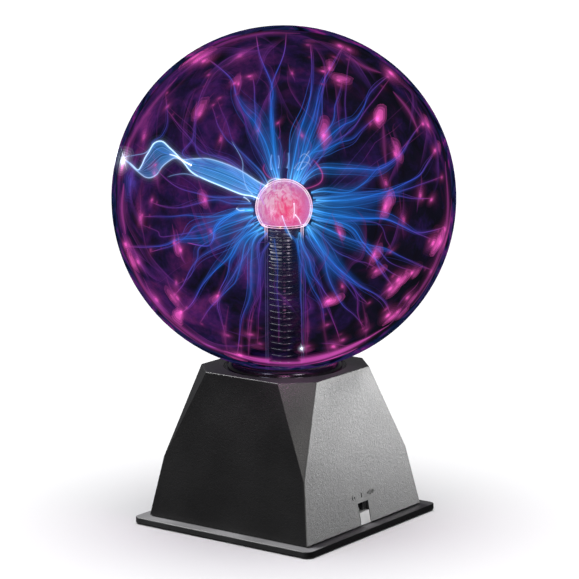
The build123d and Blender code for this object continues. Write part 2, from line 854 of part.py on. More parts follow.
# ---------------------------------------------------------------- mode switch
def switch_body():
    """Switch case: a box with a cavity for the slider and a slot in its front."""
    back = switch_front - switch_depth
    half = switch_width / 2
    case = slab((back, switch_front), (switch_y - half, switch_y + half), (board_top, switch_high))
    cavity_y = (switch_y - cavity_half_y, switch_y + cavity_half_y)
    case -= slab(cavity_x, cavity_y, (switch_z - cavity_half_z, switch_z + cavity_half_z))
    play = 0.15
    half_slot = (knob_width + switch_travel) / 2 + play
    half_high = shank_height / 2 + play
    slot_x = (switch_front - 1.5 * switch_shell, switch_front + overcut)
    slot_y = (switch_y - half_slot, switch_y + half_slot)
    return case - slab(slot_x, slot_y, (switch_z - half_high, switch_z + half_high))


def switch_contacts():
    """Four fixed contacts on the back wall of the switch's cavity."""
    back = cavity_x[0]
    contact_x = (back + 0.01, back + 0.5)
    half_wide = 1.0
    half_high = 1.6
    contact_z = (switch_z - half_high, switch_z + half_high)
    contacts = []
    for i in range(4):
        y = switch_y + contact_pitch * (i - 1.5)
        contacts.append(slab(contact_x, (y - half_wide, y + half_wide), contact_z))
    return group(contacts)


def switch_knob():
    """Slider and knob in one moulding; the knob's face has three grip ridges."""
    half = knob_width / 2
    half_slider = slider_long / 2
    half_thick = cavity_half_z - 0.2
    tip = face_x(switch_z) - knob_recess
    ridge = 0.8                  # width of a grip ridge
    ridge_height = 0.4
    knob_z = (switch_z - knob_height / 2, switch_z + knob_height / 2)
    shank_z = (switch_z - shank_height / 2, switch_z + shank_height / 2)
    slider_x = (slider_back, cavity_x[1] - 0.1)
    slider_y = (knob_y - half_slider, knob_y + half_slider)
    knob = slab(slider_x, slider_y, (switch_z - half_thick, switch_z + half_thick))
    knob += slab((cavity_x[1] - 0.2, switch_front + 0.4), (knob_y - half, knob_y + half), shank_z)
    knob += slab((switch_front + 0.15, tip - ridge_height), (knob_y - half, knob_y + half), knob_z)
    for i in (-1, 0, 1):
        y = knob_y + (half - ridge / 2) * i
        knob += slab((tip - ridge_height - 0.1, tip), (y - ridge / 2, y + ridge / 2), knob_z)
    return knob


def switch_wiper():
    """Sliding contact carried on the back of the slider."""
    thickness = 0.3
    half_long = 3.6
    half_high = 1.4
    bump_radius = 0.28
    bump_place = 2.4
    back = slider_back - thickness
    plate_y = (knob_y - half_long, knob_y + half_long)
    plate = slab((back, slider_back), plate_y, (switch_z - half_high, switch_z + half_high))
    for side in (-1, 1):
        plate += Pos(back, knob_y + side * bump_place, switch_z) * Cylinder(bump_radius, 2.0)
    return plate


# ---------------------------------------------------------------- write every sub-part
SUBPARTS = (
    base_plate,
    rubber_feet,
    base_housing,
    slot_cover,
    housing_screws,
    globe_collar,
    globe_gasket,
    neck_socket,
    neck_adhesive,
    socket_screws,
    glass_globe,
    glass_stem,
    exhaust_tip,
    electrode_lining,
    lead_terminal,
    contact_spring,
    stem_sleeve,
    transformer_core,
    hv_coil,
    primary_coil,
    hv_lead,
    circuit_board,
    board_screws,
    heat_sink,
    power_transistor,
    heat_sink_screw,
    filter_capacitors,
    film_capacitors,
    resistors,
    control_chip,
    microphone,
    dc_jack,
    jack_pin,
    switch_body,
    switch_contacts,
    switch_knob,
    switch_wiper,
)

for make in SUBPARTS:
    save(make.__name__, make())
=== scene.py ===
"""A plasma ball's looks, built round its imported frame: finishes, discharge, floor, lights and camera."""

import json
from math import asin, cos, hypot, pi, radians, sin, sqrt
from random import choice, seed, uniform

import bpy
from mathutils import Matrix, Vector, noise


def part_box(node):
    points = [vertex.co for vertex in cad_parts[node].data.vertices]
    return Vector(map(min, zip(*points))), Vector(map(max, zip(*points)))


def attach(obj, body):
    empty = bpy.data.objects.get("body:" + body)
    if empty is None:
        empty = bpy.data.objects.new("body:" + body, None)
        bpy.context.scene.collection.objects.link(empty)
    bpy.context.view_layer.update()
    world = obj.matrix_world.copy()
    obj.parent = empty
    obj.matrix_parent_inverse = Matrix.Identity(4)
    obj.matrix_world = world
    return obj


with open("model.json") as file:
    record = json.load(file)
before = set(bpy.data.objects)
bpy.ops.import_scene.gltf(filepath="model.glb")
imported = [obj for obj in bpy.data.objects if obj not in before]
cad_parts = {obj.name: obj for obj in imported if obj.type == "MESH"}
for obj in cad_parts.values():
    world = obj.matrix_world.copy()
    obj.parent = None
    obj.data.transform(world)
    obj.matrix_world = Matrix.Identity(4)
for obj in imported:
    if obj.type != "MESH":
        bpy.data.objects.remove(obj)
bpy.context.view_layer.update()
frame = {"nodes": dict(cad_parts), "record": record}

MM = 0.001

# -------------------- places, all from the frame

globe_low, globe_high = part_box("glass_globe")
GLOBE_RADIUS = (globe_high.x - globe_low.x) / 2
GLOBE = Vector((0, 0, globe_high.z - GLOBE_RADIUS))
bulb_low, bulb_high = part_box("glass_stem")
BULB_RADIUS = (bulb_high.x - bulb_low.x) / 2
BULB = Vector((0, 0, bulb_high.z - BULB_RADIUS))
sleeve_low, sleeve_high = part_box("stem_sleeve")
SLEEVE_RADIUS = sleeve_high.x
BASE_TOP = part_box("base_housing")[1].z

# -------------------- the view of the front corner

AZIMUTH = radians(36.7)
ELEVATION = radians(10.86)
ROLL = radians(-0.356)
VIEW_DISTANCE = 1.4974
AIM_HEIGHT = 137.34 * MM
AIM_ASIDE = 2.943 * MM
LENS = 159.25
SENSOR = 36.0

LEVEL = cos(ELEVATION)
BACK = Vector((sin(AZIMUTH) * LEVEL, -cos(AZIMUTH) * LEVEL, sin(ELEVATION)))
RIGHT = Vector((cos(AZIMUTH), sin(AZIMUTH), 0))
UP = BACK.cross(RIGHT)


def linked(name, data):
    """An object of that data, put in the scene."""
    made = bpy.data.objects.new(name, data)
    bpy.context.scene.collection.objects.link(made)
    return made


def make_camera():
    data = bpy.data.cameras.new("camera")
    data.lens, data.sensor_width = LENS, SENSOR
    data.clip_start, data.clip_end = 0.05, 100
    camera = linked("camera", data)
    right = cos(ROLL) * RIGHT + sin(ROLL) * UP
    up = cos(ROLL) * UP - sin(ROLL) * RIGHT
    aim = Vector((0, 0, AIM_HEIGHT)) + AIM_ASIDE * RIGHT
    turned = Matrix((right, up, BACK)).transposed().to_4x4()
    camera.matrix_world = Matrix.Translation(aim + VIEW_DISTANCE * BACK) @ turned
    bpy.context.scene.camera = camera


# -------------------- node helpers


def add_node(tree, kind, inputs=None, **settings):
    """A node with those settings, its inputs linked to sockets or set to values."""
    node = tree.nodes.new(kind)
    for key, value in settings.items():
        setattr(node, key, value)
    for key, value in (inputs or {}).items():
        if isinstance(value, bpy.types.NodeSocket):
            tree.links.new(value, node.inputs[key])
        else:
            node.inputs[key].default_value = value
    return node


class Finish:
    """A material and short calls for the nodes that it is made of."""

    def __init__(self, name):
        self.material = bpy.data.materials.new(name)
        self.material.use_nodes = True
        self.material.node_tree.nodes.clear()
        self.place = self.add("ShaderNodeTexCoord").outputs["Object"]

    def add(self, kind, inputs=None, **settings):
        return add_node(self.material.node_tree, kind, inputs, **settings)

    def plus(self, a, b):
        return self.add("ShaderNodeMath", {0: a, 1: b}, operation="ADD").outputs[0]

    def times(self, a, b):
        return self.add("ShaderNodeMath", {0: a, 1: b}, operation="MULTIPLY").outputs[0]

    def vector(self, operation, a, b):
        node = self.add("ShaderNodeVectorMath", {0: a, 1: b}, operation=operation)
        return node.outputs["Vector" if operation == "MULTIPLY" else "Value"]

    def between(self, value, low, high, to_low=0.0, to_high=1.0, smooth=True):
        """value carried from low..high to to_low..to_high."""
        kind = "SMOOTHSTEP" if smooth else "LINEAR"
        ends = {"Value": value, "From Min": low, "From Max": high, "To Min": to_low, "To Max": to_high}
        return self.add("ShaderNodeMapRange", ends, interpolation_type=kind).outputs[0]

    def mix(self, share, a, b):
        return self.add("ShaderNodeMix", {0: share, 6: a, 7: b}, data_type="RGBA").outputs[2]

    def ramp(self, value, *stops):
        """A colour for value, through stops of (place, colour)."""
        node = self.add("ShaderNodeValToRGB", {0: value})
        elements = node.color_ramp.elements
        while len(elements) < len(stops):
            elements.new(1.0)
        for element, (where, colour) in zip(elements, stops):
            element.position = where
            element.color = (*colour[:3], 1)
        return node.outputs[0]

    def cloud(self, size, detail, rough, distortion=0.0, place=None):
        """Noise with features of that size, in metres."""
        inputs = {"Vector": place or self.place, "Scale": 1 / size, "Detail": detail}
        inputs.update({"Roughness": rough, "Distortion": distortion})
        return self.add("ShaderNodeTexNoise", inputs).outputs["Fac"]

    def read(self, name):
        """A number stored on the mesh's points."""
        return self.add("ShaderNodeAttribute", attribute_name=name).outputs["Fac"]

    def facing(self, **inputs):
        """0 where the surface is seen straight on, 1 where it turns away."""
        return self.add("ShaderNodeLayerWeight", {"Blend": 0.5, **inputs}).outputs["Facing"]

    def bump(self, height, depth):
        return self.add("ShaderNodeBump", {"Height": height, "Distance": depth}).outputs["Normal"]

    def principled(self, **inputs):
        named = {key.replace("_", " ").title().replace("Ior", "IOR"): value for key, value in inputs.items()}
        return self.add("ShaderNodeBsdfPrincipled", named).outputs[0]

    def show(self, shader, share=None):
        """The material, of this shader alone or with that share of it over clear."""
        if share is not None:
            clear = self.add("ShaderNodeBsdfTransparent").outputs[0]
            shader = self.add("ShaderNodeMixShader", {0: share, 1: clear, 2: shader}).outputs[0]
        self.add("ShaderNodeOutputMaterial", {"Surface": shader})
        return self.material

    def glow(self, tint, strength, share):
        """Gas that shows its own light and lets the rest through. Its light isn't aimed at other things."""
        self.material.cycles.emission_sampling = "NONE"
        emission = self.add("ShaderNodeEmission", {"Color": tint, "Strength": strength})
        return self.show(emission.outputs[0], share)


def shade(colour, by):
    """The colour made brighter or darker, as the four numbers that a socket takes."""
    return (*(min(1.0, c * by) for c in colour[:3]), 1)


# -------------------- finishes of the frame's parts


def grained(name, colour, rough, grain, depth, spread=0.25, specular=0.5, dust_and_sheen=0.0):
    """Moulded plastic or rubber with a spark-eroded grain. With dust_and_sheen, upward-facing surfaces turn
    light grey in patches: partly dust, partly a painted sheen.
    """
    f = Finish(name)
    fine = f.cloud(grain, 3, 0.6)
    coarse = f.cloud(grain * 2.4, 2, 0.5)
    wide = f.cloud(35 * MM, 3, 0.5)
    tone = f.plus(f.times(fine, 0.6), f.times(wide, 0.4))
    tint = f.ramp(tone, (0.3, shade(colour, 1 - spread)), (0.7, shade(colour, 1 + spread)))
    # Dust and painted sheen: upward-facing surfaces turned light grey in uneven patches, partly dust, partly
    # a painted sheen where the top catches light.
    if dust_and_sheen:
        normal = f.add("ShaderNodeNewGeometry").outputs["Normal"]
        facing_up = f.add("ShaderNodeSeparateXYZ", {0: normal}).outputs["Z"]
        settled_dust_and_sheen = f.times(f.between(facing_up, 0.9, 0.99), f.between(wide, 0.2, 0.6, 0.6 * dust_and_sheen, dust_and_sheen))
        tint = f.mix(settled_dust_and_sheen, tint, (0.42, 0.42, 0.43, 1))
    shader = f.principled(
        base_color=tint,
        roughness=f.between(wide, 0.3, 0.7, rough - 0.05, rough + 0.06),
        specular_ior_level=specular,
        normal=f.bump(f.plus(fine, f.times(coarse, 0.6)), depth),
    )
    return f.show(shader)


def polished(name, colour, rough, coat=0.0):
    """Glossy plastic, lacquer or resin with faint waviness, handling smears and fine dusty specks."""
    f = Finish(name)
    wave = f.cloud(14 * MM, 2, 0.4)
    smear = f.cloud(9 * MM, 5, 0.65, 1.2)
    speck = f.cloud(0.7 * MM, 1, 0.5)
    tint = f.mix(f.between(wave, 0.3, 0.7), shade(colour, 0.85), shade(colour, 1.2))
    tint = f.mix(f.between(speck, 0.70, 0.78, 0.0, 0.35), tint, (0.3, 0.3, 0.31, 1))
    shader = f.principled(
        base_color=tint,
        roughness=f.between(smear, 0.35, 0.75, rough, rough + 0.12),
        coat_weight=coat,
        coat_roughness=0.08,
        normal=f.bump(f.plus(wave, f.times(speck, 0.05)), 0.12 * MM),
    )
    return f.show(shader)


def brushed(name, colour, rough, along=(1, 1, 0.04)):
    """Drawn or brushed metal with fine lines and a little tarnish."""
    f = Finish(name)
    lines = f.cloud(0.35 * MM, 3, 0.6, place=f.vector("MULTIPLY", f.place, along))
    tarnish = f.cloud(5 * MM, 4, 0.6)
    shader = f.principled(
        base_color=f.ramp(tarnish, (0.3, shade(colour, 0.7)), (0.65, shade(colour, 1.1))),
        metallic=1.0,
        roughness=f.between(lines, 0.3, 0.7, rough - 0.07, rough + 0.1),
        normal=f.bump(lines, 0.03 * MM),
    )
    return f.show(shader)


def wound(name, colour, wire):
    """Enamelled copper laid in turns, each wire wide."""
    f = Finish(name)
    bands = {"Vector": f.place, "Scale": 1 / (2 * wire), "Distortion": 0.4, "Detail": 1.0}
    turns = f.add("ShaderNodeTexWave", bands, wave_type="BANDS", bands_direction="Z").outputs["Fac"]
    age = f.cloud(4 * MM, 3, 0.6)
    tint = f.mix(turns, shade(colour, 0.35), colour)
    tint = f.mix(f.between(age, 0.45, 0.75, 0.0, 0.5), tint, shade(colour, 0.5))
    bumps = f.bump(turns, 0.1 * MM)
    return f.show(f.principled(base_color=tint, metallic=0.85, roughness=0.32, coat_weight=0.4, normal=bumps))


def laminate(name, colour):
    """A circuit board: solder mask over copper tracks."""
    f = Finish(name)
    grid = {"Vector": f.place, "Scale": 1 / (14 * MM)}
    grid.update({"Mortar Size": 0.035, "Brick Width": 0.7, "Row Height": 0.3})
    cells = f.add("ShaderNodeTexBrick", grid, offset=0.35).outputs["Fac"]
    weave = f.cloud(0.8 * MM, 2, 0.5)
    tint = f.mix(cells, colour, shade(colour, 2.0))
    tint = f.mix(f.between(weave, 0.4, 0.7, 0.0, 0.25), tint, shade(colour, 0.5))
    return f.show(f.principled(base_color=tint, roughness=0.34, normal=f.bump(cells, 0.05 * MM)))


def speckled(name, colour, rough):
    """Fired ceramic, ferrite or coated resistor body: speckled, slightly pitted."""
    f = Finish(name)
    pits = f.add("ShaderNodeTexVoronoi", {"Vector": f.place, "Scale": 1 / (0.7 * MM)}).outputs["Distance"]
    stain = f.cloud(4 * MM, 3, 0.6)
    tone = f.plus(f.times(pits, 0.5), f.times(stain, 0.5))
    tint = f.ramp(tone, (0.25, shade(colour, 0.6)), (0.6, shade(colour, 1.2)))
    return f.show(f.principled(base_color=tint, roughness=rough, normal=f.bump(pits, 0.05 * MM)))


# How much of the glass and of the painted dark sheet inside it shows, and where the glass's rim line starts
# and ends. The dark sheet is painted shade over what lies behind the globe.
GLASS_SHARE = 0.05
DARK_SHEET_SHARE = 0.93
RIM_START, RIM_END = 0.755, 0.790
# How much brighter a thing inside the globe must be made than it is to look, seen through the glass and the
# painted dark sheet.
GAIN = 1 / ((1 - GLASS_SHARE) ** 2 * (1 - DARK_SHEET_SHARE))


def clear_glass(name):
    """The globe's smoky wall: nearly clear seen straight on, a dark line where its outside turns away, and a
    painted glow of the discharge's light, near-black, navy, purple and magenta in patches, showing mostly
    along that line.
    """
    f = Finish(name)
    away = f.vector("DISTANCE", f.place, GLOBE)
    outside = f.between(away, 0.988 * GLOBE_RADIUS, 0.992 * GLOBE_RADIUS)
    rim = f.times(f.between(f.facing(), RIM_START, RIM_END, 0.0, 0.97 - GLASS_SHARE), outside)
    painted_glow_patches = f.cloud(20 * MM, 3, 0.6, 1.2)
    # Painted glow: the glass's own emission stands for the discharge's light on its rim.
    dark, navy = (0.36, (0.001, 0.001, 0.006)), (0.50, (0.006, 0.014, 0.060))
    purple, magenta = (0.60, (0.060, 0.010, 0.110)), (0.72, (0.260, 0.022, 0.200))
    body = f.principled(
        base_color=(0.0, 0.0, 0.0, 1),
        roughness=f.between(painted_glow_patches, 0.3, 0.7, 0.03, 0.06),
        ior=1.0,
        emission_color=f.ramp(painted_glow_patches, dark, navy, purple, magenta),
        emission_strength=1.0,
    )
    return f.show(body, f.plus(rim, GLASS_SHARE))


def stem_glass(name):
    """The inner bulb and stem: clear glass with a painted glow round its edge that stands for the discharge's
    light on it: blue-violet on the stem, pink to pale pink-white on the bulb.
    """
    f = Finish(name)
    flat = f.add("ShaderNodeNewGeometry").outputs["True Normal"]
    glow = f.cloud(9 * MM, 4, 0.6, 1.0)
    tint = f.ramp(glow, (0.35, (0.95, 0.45, 0.75)), (0.65, (1.0, 0.86, 0.96)))
    height = f.add("ShaderNodeSeparateXYZ", {0: f.place}).outputs["Z"]
    bulb = f.between(height, BULB.z - BULB_RADIUS, BULB.z - 0.5 * BULB_RADIUS)
    body = f.principled(
        base_color=(0.01, 0.01, 0.012, 1),
        roughness=f.between(glow, 0.3, 0.7, 0.04, 0.09),
        # Painted glow: the discharge's light on the glass, drawn as the glass's own emission.
        emission_color=f.mix(bulb, (0.42, 0.36, 0.95, 1), tint),
        emission_strength=f.between(bulb, 0.0, 1.0, 0.10 * GAIN, 1.2 * GAIN),
    )
    return f.show(body, f.between(f.facing(Normal=flat), 0.63, 0.84, 0.003, 0.97))


def electrode(name):
    """The conductive coat in the bulb, with a painted pink glow standing for the gas glowing round it:
    brightest at a painted hot spot on the side toward the front corner, painted pale streaks above, plum at
    its edge.
    """
    f = Finish(name)
    # Painted light: a hot spot on the side facing the front corner, and pale streaks toward the upper left.
    painted_hot_spot = BULB + BULB_RADIUS * (0.92 * BACK + 0.02 * UP + 0.10 * RIGHT)
    crown = BULB + BULB_RADIUS * (0.55 * BACK + 0.55 * UP - 0.45 * RIGHT)
    mottle = f.cloud(6 * MM, 4, 0.6, 1.5)
    streak = f.cloud(2.2 * MM, 3, 0.6, 0.8, f.vector("MULTIPLY", f.place, (1.0, 1.0, 0.35)))
    uneven = f.times(f.plus(mottle, -0.5), 0.7)
    from_painted_hot_spot = f.between(f.vector("DISTANCE", f.place, painted_hot_spot), 0, 1.2 * BULB_RADIUS, smooth=False)
    tint = f.ramp(
        f.plus(from_painted_hot_spot, uneven),
        (0.05, (1.0, 0.06, 0.20)),
        (0.25, (0.95, 0.05, 0.21)),
        (0.45, (0.88, 0.14, 0.38)),
        (0.72, (0.68, 0.15, 0.40)),
        (0.95, (0.50, 0.10, 0.38)),
    )
    from_crown = f.plus(f.vector("DISTANCE", f.place, crown), f.times(uneven, -0.02))
    near_crown = f.between(from_crown, 0.0, 1.35 * BULB_RADIUS, 1.0, 0.0)
    painted_pale_streaks = f.times(near_crown, f.between(streak, 0.36, 0.62, 0.05, 0.85))
    shader = f.principled(
        base_color=(0.10, 0.02, 0.05, 1),
        roughness=0.35,
        emission_color=f.mix(painted_pale_streaks, tint, (1.0, 0.74, 0.88, 1)),
        emission_strength=f.between(mottle, 0.25, 0.75, 0.84 * GAIN, 1.04 * GAIN),
        normal=f.bump(mottle, 0.3 * MM),
    )
    return f.show(shader)


# For each of the record's material slots: its recipe, how much of the record's brightness it takes, and its
# settings. The three that the discharge lights have none.
RECIPES = {
    "housing_plastic": (grained, 0.42, 0.42, 0.62 * MM, 0.18 * MM, 0.4, 0.4),
    # The plate's last setting lightens its upward-facing top: partly dust, partly a painted sheen.
    "plate_plastic": (grained, 0.5, 0.40, 0.8 * MM, 0.06 * MM, 0.25, 0.3, 0.3),
    "cover_plastic": (polished, 1, 0.3),
    "collar_plastic": (polished, 1, 0.14),
    "socket_plastic": (grained, 1, 0.5, 0.6 * MM, 0.05 * MM),
    "foot_rubber": (grained, 1, 0.75, 0.5 * MM, 0.06 * MM),
    "gasket_rubber": (grained, 1, 0.7, 0.4 * MM, 0.05 * MM),
    "silicone": (polished, 1, 0.4),
    "globe_glass": (clear_glass,),
    "stem_glass": (stem_glass,),
    "electrode_coat": (electrode,),
    "sleeve_plastic": (polished, 1, 0.12),
    "screw_steel": (brushed, 1, 0.3),
    "spring_steel": (brushed, 1, 0.25),
    "contact_brass": (brushed, 1, 0.28),
    "ferrite": (speckled, 1, 0.55),
    "coil_resin": (polished, 1, 0.3),
    "winding_copper": (wound, 1, 0.4 * MM),
    "lead_insulation": (polished, 1, 0.4),
    "board_laminate": (laminate, 1),
    "sink_aluminium": (brushed, 1, 0.35, (0.04, 1, 1)),
    "device_moulding": (grained, 1, 0.5, 0.3 * MM, 0.03 * MM),
    "can_sleeve": (polished, 1, 0.3),
    "film_resin": (polished, 1, 0.25, 0.3),
    "resistor_coat": (speckled, 1, 0.45),
    "mic_can": (brushed, 1, 0.3),
    "jack_plastic": (polished, 1, 0.3),
    "switch_case": (brushed, 1, 0.4),
    "knob_plastic": (polished, 1, 0.22),
}


def finish_frame():
    record = frame["record"]
    colours = {entry["slot"]: entry["base_color"] for entry in record["materials"]}
    made = {}
    for part in record["subparts"]:
        slot = part["material_slot"]
        if slot not in made:
            recipe, *settings = RECIPES[slot]
            if settings:
                settings[0] = shade(colours[slot], settings[0])
            made[slot] = recipe(slot, *settings)
        mesh = frame["nodes"][part["node"]].data
        mesh.materials.clear()
        mesh.materials.append(made[slot])


# -------------------- the discharge

# How far out the streamers end, the crawling glows lie and the bags of cloud and of painted dark sheet stand,
# in globe radii.
GLASS_REACH = 0.955
CRAWL_REACH = 0.962
CLOUD_REACH = 0.968
DARK_SHEET_REACH = 0.9785
THREAD_SIDES = 8
STRAND_SIDES = 6
# Points from one of a track's places to the next.
STEPS = 6
seed(11)
# The vector noise starts from the clock unless it is seeded.
noise.seed_set(11)


def gas_piece(name, points, faces, fields, material):
    """A smooth mesh of glowing gas, or of the painted dark sheet, that stays with the base, with the numbers
    stored on its points.
    """
    mesh = bpy.data.meshes.new(name)
    mesh.from_pydata(points, [], faces)
    mesh.polygons.foreach_set("use_smooth", [True] * len(mesh.polygons))
    for field, values in fields.items():
        mesh.attributes.new(field, "FLOAT", "POINT").data.foreach_set("value", values)
    mesh.materials.append(material)
    made = linked(name, mesh)
    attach(made, "base")


class Shells:
    """Closed skins of glowing gas, gathered into one mesh. Each point holds how far along its streamer it
    is (0 at the electrode, 1 at the glass), how hot that is, how bright and how dense the skin is, and its
    place across the streamer in millimetres."""

    FIELDS = ("gas_along", "gas_heat", "gas_power", "gas_body", "gas_side")

    def __init__(self):
        self.points, self.faces = [], []
        self.fields = {name: [] for name in self.FIELDS}

    def skin(self, rings, alongs, heat, powers, densities, places=0.0):
        """A closed skin through equal rings of points. along, power and density are given for every ring; a
        density may be a list over its ring, and places is one number or a list over each ring."""
        start, sides = len(self.points), len(rings[0])
        for ring, along, power, density in zip(rings, alongs, powers, densities):
            self.points.extend(ring)
            for name, value in zip(self.FIELDS, (along, heat, power, density, places)):
                self.fields[name].extend(value if isinstance(value, list) else [value] * sides)
        for i in range(len(rings) - 1):
            for j in range(sides):
                a, b = start + i * sides + j, start + i * sides + (j + 1) % sides
                self.faces.append((a, b, b + sides, a + sides))
        last = start + (len(rings) - 1) * sides
        self.faces.append(tuple(range(start + sides - 1, start - 1, -1)))
        self.faces.append(tuple(range(last, last + sides)))

    def piece(self, name, material, slot):
        gas_piece(name, self.points, self.faces, self.fields, material)


def spot(across, up, toward=0.0):
    """A place in the globe, in globe radii from its centre, as seen from the front corner."""
    return GLOBE + GLOBE_RADIUS * (across * RIGHT + up * UP + toward * BACK)


def curve(points, steps=STEPS):
    """A smooth line through the points."""
    ends = [2 * points[0] - points[1], *points, 2 * points[-1] - points[-2]]
    line = []
    for a, b, c, d in zip(ends, ends[1:], ends[2:], ends[3:]):
        for i in range(steps):
            t = i / steps
            square, cube = t * t, t * t * t
            p = 2 * b + (c - a) * t + (2 * a - 5 * b + 4 * c - d) * square + (3 * b - a - 3 * c + d) * cube
            line.append(p / 2)
    line.append(points[-1].copy())
    return line


def shares(line):
    """How far along the line each point is, from 0 to 1."""
    lengths = [0.0]
    for a, b in zip(line, line[1:]):
        lengths.append(lengths[-1] + (b - a).length)
    return [length / lengths[-1] for length in lengths]


def headings(line):
    """The line's direction at each point."""
    pairs = zip([line[0], *line[:-1]], [*line[1:], line[-1]])
    return [(b - a).normalized() for a, b in pairs]


def angles(count):
    """That many angles evenly spaced round a circle."""
    return [2 * pi * i / count for i in range(count)]


def from_top(tip, turn):
    """The direction at an angle tip from straight up, turned about the axis."""
    return Vector((sin(tip) * cos(turn), sin(tip) * sin(turn), cos(tip)))


def tube(shells, line, radii, alongs, heat, powers, densities, sides=THREAD_SIDES):
    """A round skin about a line."""
    side = headings(line)[0].orthogonal().normalized()
    rings = []
    for point, heading, radius in zip(line, headings(line), radii):
        side = (side - heading * side.dot(heading)).normalized()
        other = heading.cross(side)
        rings.append([point + radius * (cos(t) * side + sin(t) * other) for t in angles(sides)])
    shells.skin(rings, alongs, heat, powers, densities, uniform(0, 60))


# The skins of a thread, from its core out: width, density, brightness.
THREAD = ((1.0, 0.10, 2.8), (2.0, 0.05, 1.3), (4.4, 0.03, 0.75), (9.0, 0.012, 0.50), (15.0, 0.006, 0.35))
STRAND = ((1.0, 0.06, 4.2), (2.6, 0.03, 1.5))


def filament(shells, line, heat, power, thickness=0.3 * MM, first=0.0, last=1.0, skins=THREAD, taper=0.55):
    """A bright thread in fainter, wider ones, thinning toward the glass."""
    part = shares(line)
    alongs = [first + (last - first) * t for t in part]
    rise = [1 + 0.5 * max(0.0, 1 - 6 * t) if first < 0.2 else min(1.0, 4 * t) for t in part]
    fade = [r * (1 - taper * t) for r, t in zip(rise, part)]
    sides = THREAD_SIDES if skins is THREAD else STRAND_SIDES
    for wide, density, bright in skins:
        radii = [thickness * wide * (1.15 - taper * t) for t in part]
        powers = [power * bright * f for f in fade]
        ends = [density * min(1.0, 0.1 + 12 * (1 - t)) for t in part]
        tube(shells, line, radii, alongs, heat, powers, ends, sides)


def fading(v):
    """A sheet that is brightest along its first edge and dies away toward the second."""
    return (1 - v) ** 1.6 * (1 - 0.97 * v**4) + 0.01


def edged(v):
    """A sheet that is nearly even and a little brighter along both edges."""
    return 0.75 + 0.25 * abs(2 * v - 1) ** 2


def veil(shells, first_edge, second_edge, heat, power, density, profile=fading, first=0.0, last=1.0):
    """A thin closed sheet of glow between two lines of as many points."""
    part = shares(first_edge)
    across = 12
    half = 0.1 * MM
    start = uniform(0, 60)
    steps = [i / (across - 1) for i in range(across)]
    strengths = [profile(v) for v in steps]
    strengths += strengths[::-1]
    widest = max((b - a).length for a, b in zip(first_edge, second_edge)) / MM
    places = [start + widest * v for v in steps]
    places += places[::-1]
    rings, densities, powers = [], [], []
    for a, b, heading, t in zip(first_edge, second_edge, headings(first_edge), part):
        face = heading.cross(b - a)
        face = face.normalized() if face.length > 1e-9 else heading.orthogonal().normalized()
        rows = [a + (b - a) * v for v in steps]
        rings.append([p + half * face for p in rows] + [p - half * face for p in reversed(rows)])
        end = max(0.02, min(1.0, (0.9 if first < 0.2 else 0.0) + 2.5 * t, 2.5 * (1 - t)))
        densities.append([density * end * strength for strength in strengths])
        powers.append(power * (1 - 0.35 * t))
    alongs = [first + (last - first) * t for t in part]
    shells.skin(rings, alongs, heat, powers, densities, places)


# The skins of a round glow and of one that crawls on the glass, from the edge in: size, density, brightness.
PUFF = (
    (1.00, 0.012, 0.50),
    (0.82, 0.016, 0.60),
    (0.66, 0.022, 0.75),
    (0.51, 0.030, 0.95),
    (0.37, 0.040, 1.40),
    (0.25, 0.055, 2.40),
    (0.14, 0.080, 3.80),
)
CRAWL = ((1.0, 0.02, 0.6), (0.7, 0.03, 0.8), (0.42, 0.05, 1.2), (0.2, 0.08, 2.0))


def puff(shells, centre, size, heading, heat, power, squash=0.7, along=1.0):
    """A soft glow on the glass: skins one inside another, thin across the glass, long along the heading."""
    axis = (centre - GLOBE).normalized()
    side = heading - axis * heading.dot(axis)
    side = side.normalized() if side.length > 0.05 else axis.orthogonal().normalized()
    other = axis.cross(side)
    rows = 6
    for scale, density, bright in PUFF:
        rings = []
        for i in range(1, rows + 1):
            tip = pi * i / (rows + 1)
            flat = size * scale * sin(tip)
            middle = centre + axis * (size * scale * squash * cos(tip))
            slip = side * size * 0.35 * (1 - scale)
            ring = []
            for t in angles(18):
                away = flat * (1.5 * cos(t) * side + 0.75 * sin(t) * other)
                swell = 1 + 0.5 * noise.noise((centre + away / scale) / (5 * MM))
                ring.append(middle - slip + away * swell)
            rings.append(ring)
        shells.skin(rings, [along] * rows, heat, [power * bright] * rows, [density] * rows, 7.0)


def scatter(reach, low, high):
    """A random vector, up to reach to either side and from low to high upward."""
    return Vector((uniform(-reach, reach), uniform(-reach, reach), uniform(low, high)))


def nearly_up():
    return Vector((uniform(-0.5, 0.5), uniform(-0.5, 0.5), 1.0))


def wander(line, size):
    """The line with a slow random drift, none at its ends."""
    shift = scatter(9, -9, 9)
    moved = []
    for point, t in zip(line, shares(line)):
        drift = noise.noise_vector(point / (22 * MM) + shift)
        moved.append(point + drift * size * sin(pi * t))
    return moved


def in_radii(track):
    """A track in thousandths of the globe's radius, in radii."""
    return [(x / 1000, y / 1000) for x, y in track]


def held(x, y, reach):
    """A place seen from the front corner, drawn in to that reach from the globe's centre."""
    out = hypot(x, y)
    return (x * reach / out, y * reach / out) if out > reach else (x, y)


def on_glass(x, y, side, reach=GLASS_REACH):
    x, y = held(x, y, reach)
    return spot(x, y, side * sqrt(max(0.0, reach**2 - x * x - y * y)))


def streamer_line(track, side):
    """A track seen from the front corner, given depth so that it runs from the electrode to the glass."""
    x, y = held(*track[-1], GLASS_REACH)
    track = [*track[:-1], (x, y)]
    depth = side * sqrt(max(0.0, GLASS_REACH**2 - x * x - y * y))
    flat = [Vector((u, v, 0)) for u, v in track]
    points = [spot(u, v, depth * t**1.25) for (u, v), t in zip(track, shares(flat))]
    foot = BULB + (points[0] - BULB).normalized() * BULB_RADIUS
    if (points[0] - BULB).length > BULB_RADIUS * 1.05:
        points.insert(0, foot)
    return curve(points)


